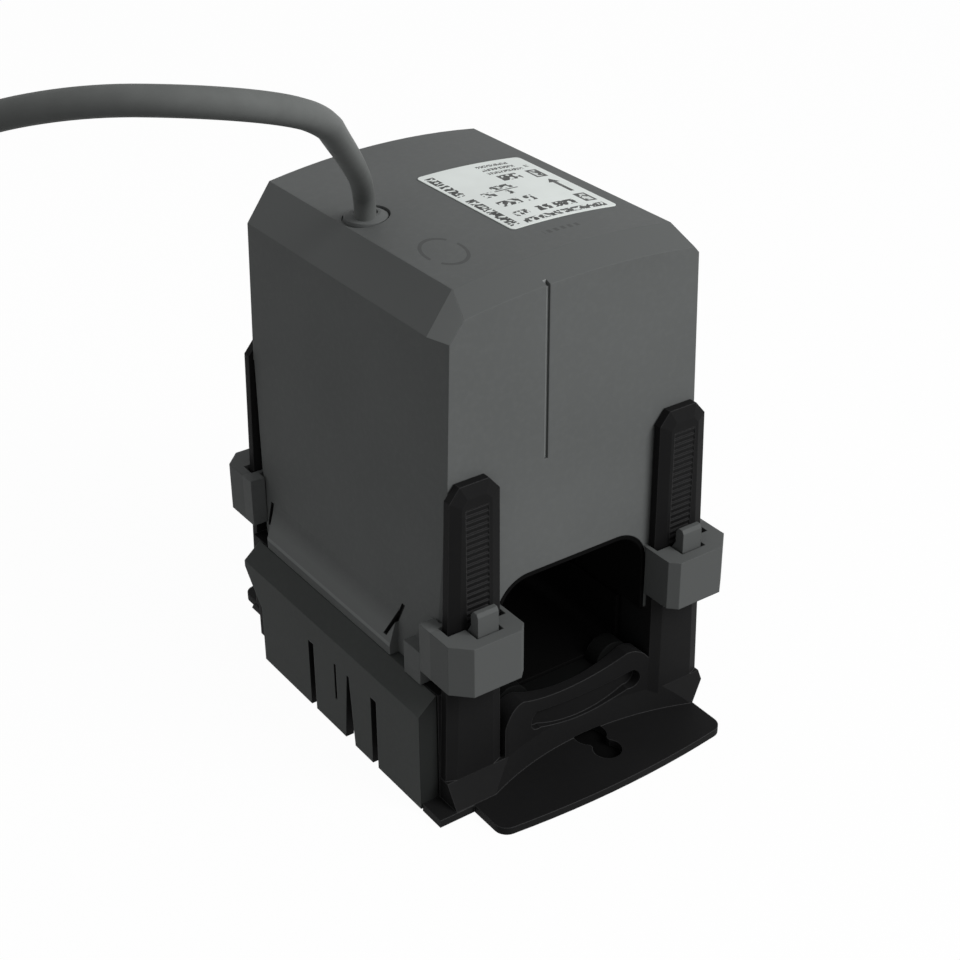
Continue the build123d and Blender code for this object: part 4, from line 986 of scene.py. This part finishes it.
class SetStage(bpy.types.Operator):
    """Floor, even sky, key lamp, the camera of the photograph, and a black sheet of painted shadow under the
    keyholes.
    """

    bl_idname = "transformer.stage"
    bl_label = "Stage"

    def execute(self, context):
        stage = context.scene.stage_light
        scene = context.scene
        scene.view_settings.view_transform = "Standard"
        self.add_camera(scene, stage)
        self.add_sky(scene, stage)
        key = bpy.data.lights.new("key", "AREA")
        key.energy = stage.key_power
        key.size = KEY_SIZE
        lamp = bpy.data.objects.new("key", key)
        scene.collection.objects.link(lamp)
        lamp.location = KEY_PLACE
        lamp.rotation_euler = aim(KEY_PLACE, KEY_TARGET)

        floor = add_piece("floor", flat_mesh("floor", FLOOR_SPAN, FLOOR_SPAN, FLOOR_HEIGHT),
                          floor_paper("floor_paper"))
        # black sheet under the keyholes: painted shadow seen through them
        mat = add_piece("shade_mat", flat_mesh("shade_mat", SHADOW_SHEET_X, SHADOW_SHEET_Y, SHADOW_SHEET_HEIGHT),
                        jacket_plastic("keyhole_shadow_black", (0.004, 0.004, 0.004), 0.8))
        return {"FINISHED"}

    def add_camera(self, scene, stage):
        """The camera that was fitted to the photograph."""
        camera = bpy.data.cameras.new("camera")
        camera.lens = stage.lens
        camera.sensor_width = 36.0
        camera.clip_start = 0.01
        viewer = bpy.data.objects.new("camera", camera)
        scene.collection.objects.link(viewer)
        right, up, back = Vector(CAMERA_RIGHT), Vector(CAMERA_UP), Vector(CAMERA_BACK)
        cosine, sine = np.cos(CAMERA_ROLL), np.sin(CAMERA_ROLL)
        turned = Matrix((right * cosine - up * sine, right * sine + up * cosine, back)).transposed()
        viewer.matrix_world = Matrix.Translation(CAMERA_PLACE) @ turned.to_4x4()
        scene.camera = viewer

    def add_sky(self, scene, stage):
        """Even white light: at the sky's level for the plastics, full white where it is seen or mirrored."""
        world = bpy.data.worlds.new("studio")
        scene.world = world
        world.use_nodes = True
        tree = world.node_tree
        path = tree.nodes.new("ShaderNodeLightPath")
        seen = path.outputs["Is Camera Ray"]
        for ray in ("Is Glossy Ray", "Is Transmission Ray"):
            either = tree.nodes.new("ShaderNodeMath")
            either.operation = "MAXIMUM"
            tree.links.new(seen, either.inputs[0])
            tree.links.new(path.outputs[ray], either.inputs[1])
            seen = either.outputs[0]
        level = tree.nodes.new("ShaderNodeMapRange")
        level.inputs["To Min"].default_value = stage.sky_level
        level.inputs["To Max"].default_value = 1.0
        tree.links.new(seen, level.inputs["Value"])
        tree.links.new(level.outputs[0], tree.nodes["Background"].inputs["Strength"])
        tree.nodes["Background"].inputs["Color"].default_value = (1.0, 1.0, 1.0, 1.0)


def floor_paper(name):
    """White paper: lit and shadowed for the camera, but dim for the light it throws back."""
    finish = Finish(name)
    tone = finish.noise(0.05, 2.0)
    finish.surface(finish.mix(tone, (0.82, 0.82, 0.82), (0.85, 0.85, 0.85)), 0.9, specular=0.0)
    path = finish.tree.nodes.new("ShaderNodeLightPath")
    camera = Field(finish, path.outputs["Is Camera Ray"])
    glossy = Field(finish, path.outputs["Is Glossy Ray"])
    through = Field(finish, path.outputs["Is Transmission Ray"])
    seen = camera.most(glossy).most(through)
    white = finish.node("ShaderNodeEmission", None, (1.0, 1.0, 1.0, 1.0), 1.0)
    dark = finish.node("ShaderNodeBsdfDiffuse", None, (0.3, 0.3, 0.3, 1.0), 0.0)
    lit = Field(finish, finish.shader.outputs[0])
    shown = finish.node("ShaderNodeMixShader", None, 0.97, lit, white)
    whole = finish.node("ShaderNodeMixShader", None, seen, dark, shown)
    output = finish.tree.nodes["Material Output"]
    finish.tree.links.new(whole.socket, output.inputs["Surface"])
    return finish.material


class TransformerPanel(bpy.types.Panel):
    """Lists the steps that finish the transformer."""

    bl_idname = "VIEW3D_PT_transformer"
    bl_label = "Current Transformer"
    bl_space_type = "VIEW_3D"
    bl_region_type = "UI"
    bl_category = "Transformer"

    def draw(self, context):
        for step in STEPS:
            self.layout.operator(step.bl_idname, text=step.bl_label)
        for name, group in SETTINGS:
            box = self.layout.box()
            settings = getattr(context.scene, name)
            for field in group.__annotations__:
                box.prop(settings, field)


STEPS = (SetStage, AddLead, FinishHousing, FinishBase, FinishLabel, FinishCore, FinishCoil, FinishWiring)
SETTINGS = (
    ("moulding", MouldingSettings),
    ("rating_label", LabelSettings),
    ("output_lead", LeadSettings),
    ("core_parts", CoreSettings),
    ("stage_light", StageSettings),
)
CLASSES = tuple(group for _, group in SETTINGS) + STEPS + (TransformerPanel,)


def register():
    for item in CLASSES:
        bpy.utils.register_class(item)
    for name, group in SETTINGS:
        setattr(bpy.types.Scene, name, bpy.props.PointerProperty(type=group))


def unregister():
    for name, _ in SETTINGS:
        delattr(bpy.types.Scene, name)
    for item in reversed(CLASSES):
        bpy.utils.unregister_class(item)


def main():
    """Register the add-on and run each step."""
    register()
    for step in STEPS:
        group, name = step.bl_idname.split(".")
        getattr(getattr(bpy.ops, group), name)()


if __name__ == "__main__":
    main()
